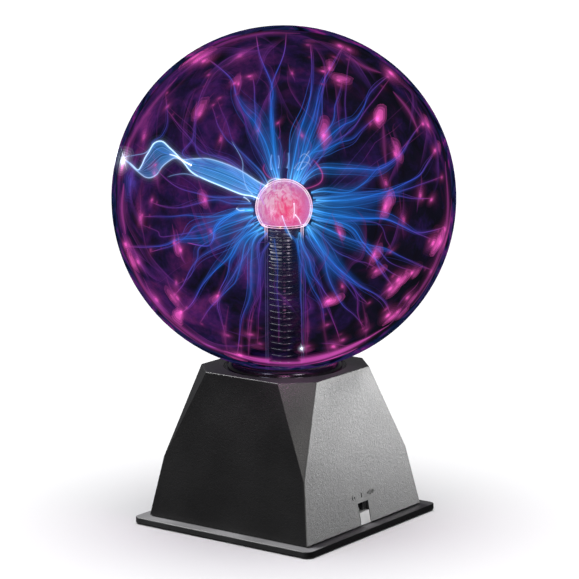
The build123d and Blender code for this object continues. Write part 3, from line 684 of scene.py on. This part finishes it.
# Each streamer: side (1 toward the front corner, -1 behind), heat, power, width of its veil in mm, pink glow
# at its end, and its track from the globe's centre, in thousandths of its radius: (to the right, up).
STREAMERS = [
    # the tall fork above the electrode
    (1, 0.95, 1.5, 3, 0, [(-50, 230), (-70, 500), (-65, 640), (-130, 810), (-153, 930)]),
    (1, 0.95, 1.5, 0, 0, [(-50, 230), (-70, 500), (-65, 640), (-13, 780), (8, 856), (20, 950)]),
    # the leaf to its left, and its thread up to the glass
    (1, 1, 1.6, 9, 1, [(-55, 160), (-97, 300), (-160, 428), (-223, 498), (-265, 582), (-294, 673),
        (-392, 757), (-434, 778)]),
    (-1, 0.7, 1, 3, 0.8, [(-111, 300), (-160, 428), (-167, 568), (-178, 708), (-188, 757)]),
    (1, 0.45, 0.6, 0, 0.4, [(-209, 112), (-476, 238), (-497, 393), (-469, 554), (-406, 680)]),
    (1, 0.6, 0.9, 2, 0, [(-300, 150), (-560, 238), (-511, 322), (-497, 420), (-480, 520)]),
    (-1, 0.55, 0.8, 2, 0.4, [(-132, 154), (-223, 259), (-329, 350), (-378, 428), (-434, 582)]),
    (-1, 0.4, 0.5, 0, 0.3, [(-150, 150), (-237, 252), (-308, 386), (-364, 526), (-400, 620)]),
    (-1, 0.25, 0.5, 0, 0.6, [(-40, 200), (-20, 287), (-27, 498)]),
    (1, 0.2, 0.5, 4, 0.6, [(-120, 220), (-190, 360), (-240, 500), (-255, 620)]),
    # the fan from the top of the electrode to the right
    (1, 0.95, 1.5, 5, 0.3, [(47, 154), (96, 357), (138, 512), (161, 603), (163, 722), (156, 849)]),
    (-1, 0.9, 1.3, 6, 0.9, [(82, 182), (131, 357), (180, 526), (223, 652), (279, 757), (349, 884)]),
    (1, 0.9, 1.3, 4, 0.8, [(100, 200), (152, 322), (194, 463), (220, 560), (237, 680)]),
    (1, 0.85, 1.1, 3, 0.8, [(209, 322), (272, 428), (293, 505), (317, 582), (328, 624)]),
    (1, 1, 1.4, 8, 1.3, [(117, 217), (223, 329), (328, 414), (412, 456), (468, 526), (510, 610), (594, 694),
        (651, 720)]),
    (1, 0.35, 0.9, 0, 0.4, [(200, 250), (377, 372), (440, 442), (489, 512), (538, 575), (608, 666)]),
    (1, 0.9, 1.3, 6, 1.3, [(152, 252), (258, 280), (363, 315), (454, 372), (524, 428)]),
    (-1, 0.35, 0.6, 0, 0.6, [(300, 360), (356, 442), (359, 568), (377, 743), (398, 863)]),
    (1, 1, 1.6, 5, 0.9, [(138, 126), (216, 178), (342, 174), (454, 158), (531, 154), (608, 189), (672, 245),
        (728, 336), (791, 414)]),
    (1, 0.9, 1.2, 5, 0, [(160, 30), (230, 38), (370, 31), (454, 84), (538, 161), (620, 200), (700, 300)]),
    (1, 1, 1.5, 7, 0.9, [(187, -14), (398, -14), (573, 28), (686, 70), (770, 112), (812, 175), (847, 231),
        (861, 266)]),
    (-1, 0.8, 1, 5, 0.5, [(170, 0), (573, 24), (714, 49), (854, 98), (930, 130)]),
    (-1, 0.8, 1.1, 6, 0.9, [(170, -30), (468, 7), (643, 21), (770, 7), (882, 7)]),
    # the lower right
    (1, 1, 1.8, 8, 0.7, [(145, -60), (293, -95), (468, -116), (594, -130), (693, -172), (770, -207),
        (854, -196), (930, -175)]),
    (1, 1, 1.4, 0, 1.2, [(145, -70), (293, -105), (468, -120), (594, -132), (721, -200), (805, -235),
        (854, -256)]),
    (-1, 0.9, 1.2, 7, 0.5, [(160, -140), (258, -186), (426, -256), (573, -291), (679, -347), (784, -396),
        (875, -430)]),
    (1, 1, 1.6, 6, 0.9, [(150, -100), (363, -165), (440, -256), (496, -333), (538, -410), (580, -473),
        (608, -516)]),
    (1, 0.7, 0.9, 0, 1.1, [(300, -200), (440, -260), (538, -305), (594, -375), (665, -410), (728, -431)]),
    (1, 0.8, 1.1, 0, 1.1, [(363, -170), (440, -262), (496, -340), (587, -424), (651, -466)]),
    (1, 1, 1.7, 7, 1.3, [(138, -165), (209, -291), (279, -375), (356, -445), (433, -509), (524, -565),
        (573, -607), (601, -670)]),
    (-1, 0.95, 1.2, 6, 0.3, [(124, -151), (180, -214), (244, -319), (293, -375), (390, -500), (500, -620)]),
    (1, 0.8, 1.1, 4, 0.2, [(130, -180), (194, -263), (230, -347), (247, -445), (279, -537), (328, -621),
        (398, -677), (454, -747)]),
    (1, 0.9, 1.2, 4, 1.2, [(90, -200), (110, -291), (145, -403), (187, -488), (230, -551), (258, -586)]),
    (-1, 0.85, 1.1, 7, 0.4, [(75, -221), (89, -333), (117, -403), (166, -516), (216, -621), (240, -750)]),
    (1, 0.15, 0.6, 0, 0.3, [(90, -250), (120, -450), (131, -586), (117, -691), (117, -852)]),
    (-1, 0.15, 0.6, 3, 0.4, [(200, -300), (360, -480), (426, -586), (433, -677), (468, -782)]),
    (-1, 0.2, 0.6, 3, 0.5, [(120, -300), (220, -550), (279, -698), (307, -768), (328, -838)]),
    (1, 0.75, 0.8, 0, 0.2, [(54, -186), (82, -270), (89, -445), (96, -656), (103, -859)]),
    (-1, 0.6, 0.7, 0, 0.5, [(200, -120), (550, -140), (620, -240), (650, -300)]),
    (1, 0.5, 0.7, 0, 0.8, [(200, -200), (330, -330), (470, -390), (520, -420)]),
    # the lower left
    (1, 1, 1.8, 3, 0, [(-188, -67), (-272, -74), (-350, -130), (-392, -186), (-406, -249), (-434, -284),
        (-532, -270)]),
    (1, 0.95, 1.4, 6, 1.3, [(-180, -100), (-223, -116), (-364, -165), (-469, -214), (-609, -235),
        (-679, -270), (-785, -277), (-869, -277), (-911, -277)]),
    (-1, 0.9, 1.2, 6, 0.3, [(-200, -70), (-434, -130), (-525, -158), (-588, -221), (-672, -270),
        (-800, -300)]),
    (-1, 0.85, 1.1, 3, 0.6, [(-200, -70), (-434, -95), (-546, -91), (-644, -98), (-757, -88), (-850, -90)]),
    (-1, 0.5, 0.8, 3, 0.6, [(-190, -30), (-308, -24), (-385, -7), (-504, -17), (-616, -38), (-729, -24),
        (-800, 0)]),
    (1, 0.5, 0.8, 0, 0.5, [(-190, 0), (-400, 10), (-550, 30), (-660, 100), (-720, 160)]),
    (1, 0.8, 1.1, 4, 0.5, [(-140, -100), (-188, -123), (-272, -221), (-378, -291), (-483, -354),
        (-532, -417), (-574, -502), (-620, -560)]),
    (-1, 0.75, 0.9, 3, 0.6, [(-300, -200), (-483, -270), (-511, -347), (-560, -445), (-650, -500)]),
    (1, 1, 1.6, 5, 1.3, [(-140, -140), (-272, -256), (-329, -347), (-406, -431), (-469, -516), (-525, -607),
        (-588, -663)]),
    (1, 0.95, 1.4, 4, 0.9, [(-120, -170), (-237, -235), (-294, -340), (-322, -431), (-357, -523),
        (-374, -572)]),
    (-1, 0.9, 1.2, 4, 0.2, [(-130, -170), (-223, -256), (-258, -375), (-280, -473), (-308, -516),
        (-434, -628), (-504, -726)]),
    (1, 0.85, 1.2, 4, 1.1, [(-110, -190), (-174, -235), (-188, -347), (-195, -473), (-209, -586),
        (-244, -691), (-258, -796), (-272, -900)]),
    (-1, 0.3, 0.8, 3, 0.6, [(-100, -200), (-153, -270), (-146, -410), (-153, -551), (-195, -642),
        (-223, -796)]),
    (1, 0.1, 0.6, 3, 0.3, [(-130, -350), (-146, -642), (-153, -831)]),
    (-1, 0.55, 0.8, 4, 0.4, [(-150, -200), (-300, -450), (-392, -586), (-380, -690), (-357, -796)]),
    # along the front of the stem
    (1, 0.55, 0.5, 0, 0, [(-50, -150), (-55, -250), (-41, -375), (-48, -530), (-27, -656), (-34, -831)]),
    (1, 0.9, 1, 0, 0, [(-9, -109), (12, -200), (54, -256), (90, -360), (100, -500)]),
    # behind the long ribbon, on the left
    (-1, 0.9, 1.1, 4, 0.3, [(-300, 120), (-757, 294), (-715, 379), (-686, 442), (-683, 540), (-693, 624)]),
    (-1, 0.3, 0.7, 4, 0.5, [(-300, 200), (-500, 300), (-620, 450), (-700, 550)]),
    (-1, 0.4, 0.7, 0, 0.4, [(-190, -100), (-672, -214), (-750, -179), (-855, -137)]),
]

# Pink glows on the glass that no streamer above ends in: side, size in mm, power, place in the thousandths.
GLOWS = [
    (-1, 4.5, 0.9, -155, 460), (1, 4, 0.9, -245, 620), (-1, 4, 0.7, 50, 780),
    (-1, 5, 0.9, 105, 430), (1, 6.5, 0.8, 220, 330), (1, 5.5, 0.9, 615, 235),
    (-1, 6, 0.7, 615, 130), (-1, 5, 0.9, 840, 440), (-1, 5.5, 0.9, 820, 45),
    (1, 6, 1, 565, -60), (-1, 6.5, 0.6, 720, -90), (1, 5, 0.9, 900, -250),
    (1, 5, 0.9, 505, -325), (1, 4.5, 0.8, 300, -210), (-1, 5, 0.8, 640, -520),
    (1, 4.5, 1, 710, -570), (-1, 5, 0.7, 350, -500), (1, 5, 0.7, 660, -650),
    (-1, 6, 1.1, 300, -870), (1, 4.5, 1.2, -575, -295), (-1, 6, 0.7, -460, -155),
    (1, 5, 0.8, -435, -20), (-1, 4.5, 0.9, -670, -230), (1, 6, 1, -840, -350),
    (-1, 6, 1, -760, -570), (1, 5.5, 0.9, -610, -560), (-1, 6.5, 0.8, -860, -80),
    (-1, 6.5, 0.7, -780, 190), (1, 7, 0.9, -480, 790), (-1, 7, 0.8, -240, 870),
    (1, 6, 0.7, -450, 460), (-1, 7, 0.6, -820, 400), (-1, 6, 0.6, -380, 410),
    (1, 4.5, 0.9, 260, 710),
]

# Faint glows that crawl along the glass: power, width in mm, side, track.
CRAWLS = [
    (0.55, 3.2, -1, [(360, 860), (470, 790), (580, 740)]),
    (0.55, 3.2, -1, [(650, 640), (740, 530), (800, 410)]),
    (0.45, 3.5, -1, [(600, 470), (610, 350), (620, 220)]),
    (0.8, 4.5, 1, [(-930, -200), (-860, -420), (-760, -580), (-600, -740), (-420, -860), (-200, -930)]),
    (1.7, 3.4, -1, [(-300, -905), (-100, -945), (100, -945), (300, -900), (500, -810)]),
    (1.4, 3, 1, [(-350, -880), (-150, -940), (100, -950), (350, -880), (600, -740)]),
    (0.5, 4, 1, [(600, -740), (750, -580), (880, -360), (940, -100), (930, 200)]),
    (0.7, 4, -1, [(-930, 180), (-900, 330), (-780, 540), (-620, 720)]),
    (0.45, 4.5, 1, [(-600, 730), (-400, 860), (-150, 940), (100, 940)]),
    (0.6, 4, -1, [(-940, 100), (-950, -50), (-930, -200)]),
    (0.22, 2.6, 1, [(-310, -620), (-335, -780), (-330, -900)]),
    (0.30, 2.2, 1, [(-165, -600), (-195, -780), (-210, -930)]),
    (0.22, 2.2, -1, [(-245, -660), (-260, -800), (-255, -920)]),
    (0.25, 2.2, 1, [(125, -580), (130, -750), (120, -930)]),
    (0.22, 2.4, -1, [(220, -640), (240, -800), (260, -920)]),
    (0.22, 2.6, 1, [(430, -580), (460, -720), (470, -840)]),
]


def widened(line, width, twist):
    """A strand beside a line: farthest from it half way along, closing toward both ends."""
    edge = []
    for point, heading, t in zip(line, headings(line), shares(line)):
        across = heading.cross(BACK)
        across = across.normalized() if across.length > 0.05 else RIGHT
        turn = twist + 2.2 * t
        way = (cos(turn) * across + 0.7 * sin(turn) * BACK).normalized()
        swell = sin(pi * (0.03 + 0.95 * t) ** 0.8) ** 0.9
        edge.append(point + way * width * MM * (swell + 0.12 * sin(17 * t + 3 * twist)))
    return edge


def make_streamers(threads, veils, glows):
    for side, heat, power, width, end_glow, track in STREAMERS:
        line = wander(streamer_line(in_radii(track), side), 1.6 * MM)
        filament(threads, line, heat, 1.15 * power, 0.26 * MM)
        flip = choice((0, pi))
        for k in range(2):
            turn = flip + k * pi + uniform(-0.5, 0.5)
            far = widened(line, max(2.2, 1.7 * width) * (1 - 0.4 * k), turn)
            veil(veils, line, far, heat, 0.84 * power, 0.18)
        for k in range(1 if width < 3 else 2 if width < 5.5 else 3):
            reach = max(1.6, width) * uniform(0.3, 1.0)
            edge = widened(line, reach, choice((0, pi)) + uniform(-0.8, 0.8))
            filament(threads, edge, 0.9 * heat, power * uniform(0.2, 1.1), 0.16 * MM, skins=STRAND)
        if end_glow:
            run = line[-1] - line[-5]
            size = (3.8 + 1.5 * end_glow) * uniform(0.85, 1.25) * MM
            puff(glows, line[-1], size, run, 0.5, 0.85 * end_glow)
            puff(glows, line[-4], 0.75 * size, run, 0.5, 0.22 * end_glow)


def make_halo(glows):
    """A broad faint blue glow round the bulb."""
    rows = 15
    for scale, density, power in ((2.9, 0.018, 0.14), (2.3, 0.02, 0.20), (1.7, 0.02, 0.30)):
        reach = scale * BULB_RADIUS
        rings = []
        for i in range(1, rows + 1):
            ways = [from_top(pi * i / (rows + 1), t) for t in angles(32)]
            swells = [1 + 0.16 * noise.noise(2 * way + Vector((scale, 0, 0))) for way in ways]
            rings.append([BULB + way * reach * swell for way, swell in zip(ways, swells)])
        glows.skin(rings, [0.5] * rows, 0.9, [power] * rows, [density] * rows, 7.0)


def make_glows(threads, veils, glows):
    for side, size, power, x, y in GLOWS:
        place = on_glass(x / 1000, y / 1000, side)
        way = nearly_up()
        puff(glows, place, 1.1 * size * MM, way, 0.5, 0.75 * power)
        out = (place - GLOBE).normalized()
        way = (way - out * way.dot(out)).normalized()
        stops = [place + k * 2.4 * size * MM * way - GLOBE for k in (-1, -0.4, 0.4, 1)]
        line = wander(curve([GLOBE + stop.normalized() * 0.95 * GLOBE_RADIUS for stop in stops]), 2.5 * MM)
        filament(threads, line, 0.35, 0.35 * power, 0.25 * MM, 0.86, 0.98, STRAND)
        edge = widened(line, 0.5 * size, uniform(0, 6))
        veil(veils, line, edge, 0.35, 0.9 * power, 0.16, fading, 0.84, 0.98)
    for power, width, side, track in CRAWLS:
        line = curve([on_glass(x, y, side, CRAWL_REACH) for x, y in in_radii(track)], 8)
        ends = [sin(pi * (0.03 + 0.94 * t)) for t in shares(line)]
        count = len(line)
        for wide, density, bright in CRAWL:
            radii = [min(width, 3.4) * MM * wide * end for end in ends]
            tube(glows, line, radii, [0.97] * count, 0.5, [power * bright] * count, [density] * count)


def make_wisps(threads, veils):
    """Faint violet strands that wander over the glass all round, and a few from the electrode to it."""
    for i in range(44):
        way = scatter(1, -0.8, 1).normalized()
        lean = nearly_up()
        run = (lean - way * lean.dot(way)).normalized()
        points = []
        for k in range(5):
            drift = noise.noise_vector(way * 3 + Vector((k * 0.7, i, 0)))
            step = (way + run * 0.16 * k + 0.10 * drift).normalized()
            points.append(GLOBE + step * GLOBE_RADIUS * (0.86 + 0.09 * min(1.0, k / 2)))
        line = curve(points, 5)
        power = uniform(0.25, 0.7)
        start = uniform(0.62, 0.8)
        filament(threads, line, 0.35, 0.3 * power, 0.25 * MM, start, 0.97, STRAND)
        edge = widened(line, uniform(3.0, 8.0), uniform(0, 6))
        veil(veils, line, edge, 0.35, 1.4 * power, 0.14, fading, start, 0.97)
    for i in range(22):
        way = scatter(1, -0.9, 1).normalized()
        end = GLOBE + GLOBE_RADIUS * GLASS_REACH * way
        foot = BULB + BULB_RADIUS * (way - 0.3 * Vector((0, 0, 1))).normalized()
        middle = foot.lerp(end, 0.5) + 9 * MM * noise.noise_vector(way * 5)
        line = wander(curve([foot, middle, end]), 5 * MM)
        filament(threads, line, 0.3, uniform(0.2, 0.6), 0.2 * MM, 0.25, 1.0, STRAND)


# The long ribbon to the left: its two edges, in thousandths as above, from the electrode to the glass.
RIBBON = [
    ((-100, 70), (-150, 0)),
    ((-153, 98), (-188, 14)),
    ((-250, 160), (-250, 25)),
    ((-340, 200), (-360, 70)),
    ((-440, 228), (-460, 112)),
    ((-530, 226), (-530, 150)),
    ((-580, 222), (-575, 205)),
    ((-625, 232), (-615, 250)),
    ((-660, 215), (-658, 292)),
    ((-700, 182), (-700, 328)),
    ((-730, 140), (-745, 318)),
    ((-765, 121), (-775, 272)),
    ((-795, 123), (-800, 235)),
    ((-820, 138), (-822, 190)),
    ((-850, 163), (-846, 168)),
    ((-890, 200), (-885, 203)),
    ((-928, 232), (-926, 235)),
]
RIBBON_BRANCHES = [
    [(-745, 318), (-764, 294), (-800, 262), (-860, 250), (-926, 238)],
    [(-460, 112), (-560, 140), (-630, 135), (-672, 122)],
    [(-180, 20), (-215, 60), (-235, 140), (-240, 220), (-300, 330)],
]
# The painted star rays of a glint, round the bright glow at the ribbon's foot and round the painted glint low
# by the stem: turn, reach in mm.
PAINTED_GLINT_RAYS = ((0.3, 7), (1.3, 4.5), (1.9, 8), (2.9, 5), (3.6, 4), (4.3, 6), (5.1, 8), (5.7, 4.5))


def make_ribbon(threads, veils, glows):
    rows = [in_radii(row) for row in RIBBON]
    bulge = [0.12 * sin(pi * i / (len(rows) - 1)) for i in range(len(rows))]
    edges = [curve([spot(*row[k], toward) for row, toward in zip(rows, bulge)]) for k in (0, 1)]
    veil(veils, *edges, 1.0, 2.1, 0.26, edged, 0.01, 0.08)
    for v in (0.12, 0.25, 0.38, 0.5, 0.62, 0.75, 0.88):
        strand = [a.lerp(b, v) for a, b in zip(*edges)]
        filament(threads, strand, 1.2, uniform(0.5, 1.3), 0.13 * MM, 0.05, 0.2, STRAND, 0.1)
    for edge, power in zip(edges, (2.2, 3.4)):
        filament(threads, edge, 1.5, power, 0.24 * MM, 0.0, 0.10, taper=0.1)
    for track in RIBBON_BRANCHES:
        line = curve([spot(x, y, 0.1) for x, y in in_radii(track)])
        filament(threads, line, 1.3, 1.4, 0.17 * MM, 0.0, 0.2, taper=0.3)
    pinch = [spot((a[0] + b[0]) / 2, (a[1] + b[1]) / 2, 0.13) for a, b in rows[5:9]]
    filament(threads, curve(pinch), 2.0, 3.6, 0.22 * MM, 0.0, 0.1, taper=0.2)
    # A bright glow where the ribbon meets the glass, and a painted glint low by the stem; each with painted
    # star rays of a glint.
    foot = spot(-0.93, 0.238)
    painted_glint = spot(0.099, -0.869, 0.14)
    for centre, size in ((foot, 1.0), (painted_glint, 0.4)):
        puff(glows, centre, 6.0 * size * MM, UP, 2.0, 6.0, 1.0, 0.0)
        for turn, reach in PAINTED_GLINT_RAYS:
            tip = centre + reach * size * MM * (cos(turn) * (BACK + RIGHT) / 1.4 + sin(turn) * UP)
            ray = curve([centre, centre.lerp(tip, 0.5), tip])
            filament(threads, ray, 2.0, 3.0, 0.14 * MM, 0.0, 0.0, STRAND, 0.9)
    puff(glows, foot - 2 * MM * UP, 9 * MM, UP, 0.5, 1.0, 0.4)
    puff(glows, on_glass(-0.84, 0.10, 1), 10 * MM, UP, 0.8, 0.40, 0.7, 0.72)


# Bright lines on and round the bulb: along (0 white-blue, 1 pink), heat, power, width in mm, how far toward
# the front corner in globe radii, track.
BULB_LINES = [
    (1, 0.5, 0.9, 0.26, 0.20, [(156, 220), (190, 190), (222, 130), (208, 80), (140, 50), (90, 50)]),
    (1, 0.5, 0.7, 0.24, 0.21, [(-106, 196), (-116, 160), (-90, 118), (-50, 100)]),
    (0, 2, 1.7, 0.16, 0.19, [(58, -35), (60, -80), (56, -122)]),
    (0, 2, 1.9, 0.20, 0.16, [(64, -100), (85, -125), (99, -157)]),
    (0, 1.7, 1.9, 0.24, 0.08, [(-275, -60), (-255, -72), (-225, -70)]),
    (0, 1.7, 1.7, 0.22, 0.08, [(-232, 6), (-213, -6), (-195, -24)]),
    (0.1, 1.5, 1.3, 0.15, 0.13, [(80, 155), (105, 200), (130, 240), (150, 270)]),
    (0.1, 1.5, 1.1, 0.14, 0.13, [(100, 160), (130, 185), (150, 225), (120, 250), (90, 225)]),
    (0.1, 1.5, 1, 0.13, 0.12, [(60, 165), (90, 200), (140, 200), (160, 175)]),
    (0.15, 1.2, 2.2, 0.22, 0.12, [(-70, 160), (-75, 200), (-68, 250)]),
    (0.15, 1.2, 2, 0.20, 0.12, [(-30, 168), (-25, 210), (-30, 245)]),
    (0.15, 1.2, 2, 0.20, 0.12, [(20, 168), (30, 215), (28, 260)]),
    (0.05, 1.5, 1.8, 0.18, 0.20, [(-11, -105), (4, -150), (26, -200), (47, -245)]),
    (0.85, 0.5, 1.6, 0.26, 0.19, [(-120, 100), (-135, 50), (-130, 0), (-110, -50)]),
    (0.85, 0.5, 1.4, 0.24, 0.20, [(-40, 130), (-60, 80), (-50, 30)]),
    (0, 2, 1.7, 0.24, 0.20, [(-100, 60), (-85, 90), (-50, 105), (-10, 100)]),
]


def make_bulb_lines(threads):
    for along, heat, power, width, toward, track in BULB_LINES:
        line = curve([spot(x, y, toward) for x, y in in_radii(track)])
        filament(threads, line, heat, power, width * MM, along, along, THREAD, 0.15)


def discharge_finish():
    """Glowing gas: white-blue at the electrode through cobalt and violet to pink at the glass."""
    f = Finish("discharge")
    along, heat = f.read("gas_along"), f.read("gas_heat")
    hot = f.ramp(
        along,
        (0.00, (0.08, 0.38, 0.84)),
        (0.12, (0.02, 0.20, 0.64)),
        (0.50, (0.012, 0.12, 0.58)),
        (0.76, (0.05, 0.07, 0.52)),
        (0.91, (0.20, 0.06, 0.48)),
        (1.00, (0.82, 0.10, 0.48)),
    )
    cool = f.ramp(
        along,
        (0.00, (0.08, 0.13, 0.66)),
        (0.30, (0.10, 0.06, 0.50)),
        (0.60, (0.22, 0.04, 0.46)),
        (0.85, (0.46, 0.06, 0.46)),
        (1.00, (0.82, 0.10, 0.48)),
    )
    tint = f.mix(f.between(heat, 0.1, 0.9, smooth=False), cool, hot)
    tint = f.mix(f.between(heat, 1.0, 2.0, 0.0, 0.8, smooth=False), tint, (0.85, 0.93, 1.0, 1))
    across = f.times(f.read("gas_side"), 1.5)
    grain = f.add("ShaderNodeCombineXYZ", {0: across, 1: f.times(along, 3.0)}).outputs[0]
    streaks = f.between(f.cloud(1.0, 3, 0.6, 0.3, grain), 0.30, 0.70, 0.55, 1.45)
    power = f.times(f.times(f.read("gas_power"), streaks), GAIN)
    return f.glow(tint, power, f.read("gas_body"))


def dark_sheet_finish():
    """A painted dark sheet just inside the glass: nearly black painted shade that hides most of what lies
    behind the globe, with a faint uneven violet.
    """
    f = Finish("gas_haze")
    cloud = f.cloud(30 * MM, 4, 0.58, 1.6)
    tint = f.ramp(cloud, (0.35, (0.0010, 0.0006, 0.0026)), (0.7, (0.0030, 0.0010, 0.0070)))
    return f.glow(tint, 1.0, DARK_SHEET_SHARE)


CLOUD_SHARE = 0.10


def cloud_finish():
    """Drifting violet and plum cloud over part of the glass, more of it to the left."""
    f = Finish("gas_cloud")
    cloud = f.cloud(34 * MM, 3, 0.5, 1.0)
    wisps = f.cloud(8 * MM, 3, 0.6, 2.5)
    leaning = f.vector("DOT_PRODUCT", f.place, (-0.8 * RIGHT + 0.1 * UP) / GLOBE_RADIUS)
    lean = f.between(leaning, -0.6, 0.9, -0.07, 0.11, smooth=False)
    both = f.plus(f.times(cloud, 0.82), f.times(wisps, 0.18))
    tint = f.ramp(
        f.plus(both, lean),
        (0.50, (0.0, 0.0, 0.0)),
        (0.59, (0.06, 0.015, 0.24)),
        (0.67, (0.32, 0.04, 0.52)),
        (0.78, (1.00, 0.10, 0.80)),
    )
    return f.glow(tint, 0.9 * GAIN, CLOUD_SHARE)


def make_bag(name, reach, swell, material, rows=72, columns=112):
    """A bag just inside the glass, open round the stem's sleeve at its foot: of glowing gas, or the painted
    dark sheet.
    """
    reach *= GLOBE_RADIUS
    low = pi - asin((SLEEVE_RADIUS + 1.2 * MM) / reach)
    points = [GLOBE + Vector((0, 0, reach))]
    faces = [(0, 1 + j, 1 + (j + 1) % columns) for j in range(columns)]
    for i in range(rows):
        for j, turn in enumerate(angles(columns)):
            way = from_top(low * (i + 1) / rows, turn)
            points.append(GLOBE + way * (reach + swell * noise.noise(way * 4)))
            if i < rows - 1:
                a, b = 1 + i * columns + j, 1 + i * columns + (j + 1) % columns
                faces.append((a, a + columns, b + columns, b))
    gas_piece(name, points, faces, {}, material)


def make_discharge():
    threads, veils, glows = Shells(), Shells(), Shells()
    make_streamers(threads, veils, glows)
    make_ribbon(threads, veils, glows)
    make_bulb_lines(threads)
    make_wisps(threads, veils)
    make_glows(threads, veils, glows)
    make_halo(glows)
    material = discharge_finish()
    threads.piece("discharge_threads", material, "discharge_blue")
    veils.piece("discharge_veils", material, "discharge_violet")
    glows.piece("discharge_glows", material, "discharge_pink")
    make_bag("gas_haze", DARK_SHEET_REACH, 0.04 * MM, dark_sheet_finish())
    make_bag("gas_cloud", CLOUD_REACH, 0.3 * MM, cloud_finish())


# -------------------- floor, lights, camera


def make_floor():
    reach = 40.0
    mesh = bpy.data.meshes.new("floor")
    corners = [(-reach, -reach, 0), (reach, -reach, 0), (reach, reach, 0), (-reach, reach, 0)]
    mesh.from_pydata(corners, [], [(0, 1, 2, 3)])
    f = Finish("floor")
    tint = f.ramp(f.cloud(0.4, 2, 0.5), (0.3, (0.90, 0.90, 0.90)), (0.7, (0.92, 0.92, 0.92)))
    mesh.materials.append(f.show(f.principled(base_color=tint, roughness=0.9, specular_ior_level=0.0)))
    floor = linked("floor", mesh)
    floor.visible_glossy = False
    floor.visible_diffuse = False
    return floor


def make_world():
    """White where the camera looks past everything, and a dim grey for all other light."""
    world = bpy.data.worlds.new("studio")
    world.use_nodes = True
    tree = world.node_tree
    tree.nodes.clear()
    seen = add_node(tree, "ShaderNodeBackground", {0: (1, 1, 1, 1)}).outputs[0]
    around = add_node(tree, "ShaderNodeBackground", {0: (0.105, 0.105, 0.11, 1)}).outputs[0]
    looking = add_node(tree, "ShaderNodeLightPath").outputs["Is Camera Ray"]
    mixed = add_node(tree, "ShaderNodeMixShader", {0: looking, 1: around, 2: seen}).outputs[0]
    add_node(tree, "ShaderNodeOutputWorld", {0: mixed})
    bpy.context.scene.world = world


def lamp_at(place, name, kind, energy, colour):
    data = bpy.data.lights.new(name, kind)
    data.energy = energy
    data.color = colour
    lamp = linked(name, data)
    lamp.location = place
    lamp.visible_camera = False
    return lamp


def softbox(name, place, aim, width, height, radiance, colour=(1, 1, 1)):
    """A rectangular lamp at place, facing aim, of that brightness."""
    lamp = lamp_at(place, name, "AREA", radiance * pi * width * height, colour)
    lamp.data.shape = "RECTANGLE"
    lamp.data.size, lamp.data.size_y = width, height
    lamp.rotation_euler = (aim - place).to_track_quat("-Z", "Y").to_euler()
    return lamp


def light_only(lamp, objects, state="INCLUDE", alone=False):
    """Lets the lamp light these objects and nothing else, or with EXCLUDE all but these. With alone,
    nothing else casts a shadow in its light either."""
    group = bpy.data.collections.new(lamp.name + "_" + state.lower())
    for lit in objects:
        group.objects.link(lit)
    for entry in group.collection_objects:
        entry.light_linking.link_state = state
    lamp.light_linking.receiver_collection = group
    if alone:
        lamp.light_linking.blocker_collection = group


def make_lights(floor):
    """Softboxes round the base, some for one part alone, and a broad light for the floor."""
    middle = Vector((0, 0, BASE_TOP / 2))
    parts = frame["nodes"]
    housing, plate = parts["base_housing"], parts["base_plate"]
    clear = (floor, parts["glass_globe"])
    side = softbox("side_box", middle + Vector((0.24, 0.31, 0.065)), middle, 0.26, 0.19, 17.0)
    light_only(side, (*clear, plate, parts["globe_collar"]), "EXCLUDE")
    top = softbox("top_box", middle + Vector((-0.1, 0.1, 1.1)), middle, 0.7, 0.7, 1.2)
    light_only(top, clear, "EXCLUDE")
    front = softbox("front_box", middle + 1.7 * BACK + Vector((0, 0, 0.25)), middle, 0.5, 0.5, 3.0)
    light_only(front, clear, "EXCLUDE")
    corner_place = middle + 1.3 * Vector((0.627, -0.467, 0.624))
    light_only(softbox("corner_box", corner_place, middle, 0.5, 0.5, 10.5, (1, 0.97, 0.94)), (housing,))
    light_only(softbox("plate_box", Vector((-0.5, -0.45, 0.5)), Vector(), 0.4, 0.4, 27.0), (plate,))
    for name, way, away, wide, high, radiance, lit in (
        ("left_box", Vector((-0.587, -0.15, 0.79)), 0.9, 0.34, 0.34, 26.0, (housing, plate)),
        ("edge_box", Vector((0.97, 0.13, 0.158)), 0.6, 0.05, 0.3, 40.0, (housing,)),
    ):
        light_only(softbox(name, middle + away * way, middle, wide, high, radiance), lit, alone=True)
    sun = bpy.data.lights.new("floor_light", "SUN")
    sun.energy = 3.6
    sun.angle = radians(70)
    light_only(linked("floor_light", sun), (floor,))


def make_inner_lights():
    """Small lamps where the discharge is brightest, so that it lights the stem, the sleeve and the collar."""
    for name, place, watts, colour in (
        ("glow_left", spot(-0.42, -0.25, 0.35), 0.7, (0.75, 0.75, 1.0)),
        ("glow_right", spot(0.30, -0.45, 0.45), 0.7, (0.95, 0.8, 1.0)),
        ("glow_low", spot(0.0, -0.8, 0.45), 0.25, (1.0, 0.35, 0.8)),
    ):
        lamp_at(place, name, "POINT", watts, colour).data.shadow_soft_size = 10 * MM
    for name, place, wide, high, radiance, colour in (
        ("stem_left", spot(-0.44, -0.42, 0.10), 120 * MM, 12 * MM, 6.5 * GAIN, (0.90, 0.92, 1.0)),
        ("stem_front", spot(0.30, -0.42, 0.66), 90 * MM, 16 * MM, 4.0 * GAIN, (0.92, 0.90, 1.0)),
    ):
        lamp = softbox(name, place, Vector((0, 0, place.z)), wide, high, radiance, colour)
        light_only(lamp, (frame["nodes"]["stem_sleeve"],), alone=True)


def set_look():
    scene = bpy.context.scene
    scene.view_settings.view_transform = "Standard"
    scene.cycles.transparent_max_bounces = 1024
    scene.cycles.min_transparent_bounces = 1024
    scene.cycles.min_light_bounces = 4
    scene.cycles.max_bounces = 8
    scene.cycles.use_denoising = True
    scene.cycles.sample_clamp_indirect = 4.0


finish_frame()
make_discharge()
make_world()
make_lights(make_floor())
make_inner_lights()
make_camera()
set_look()
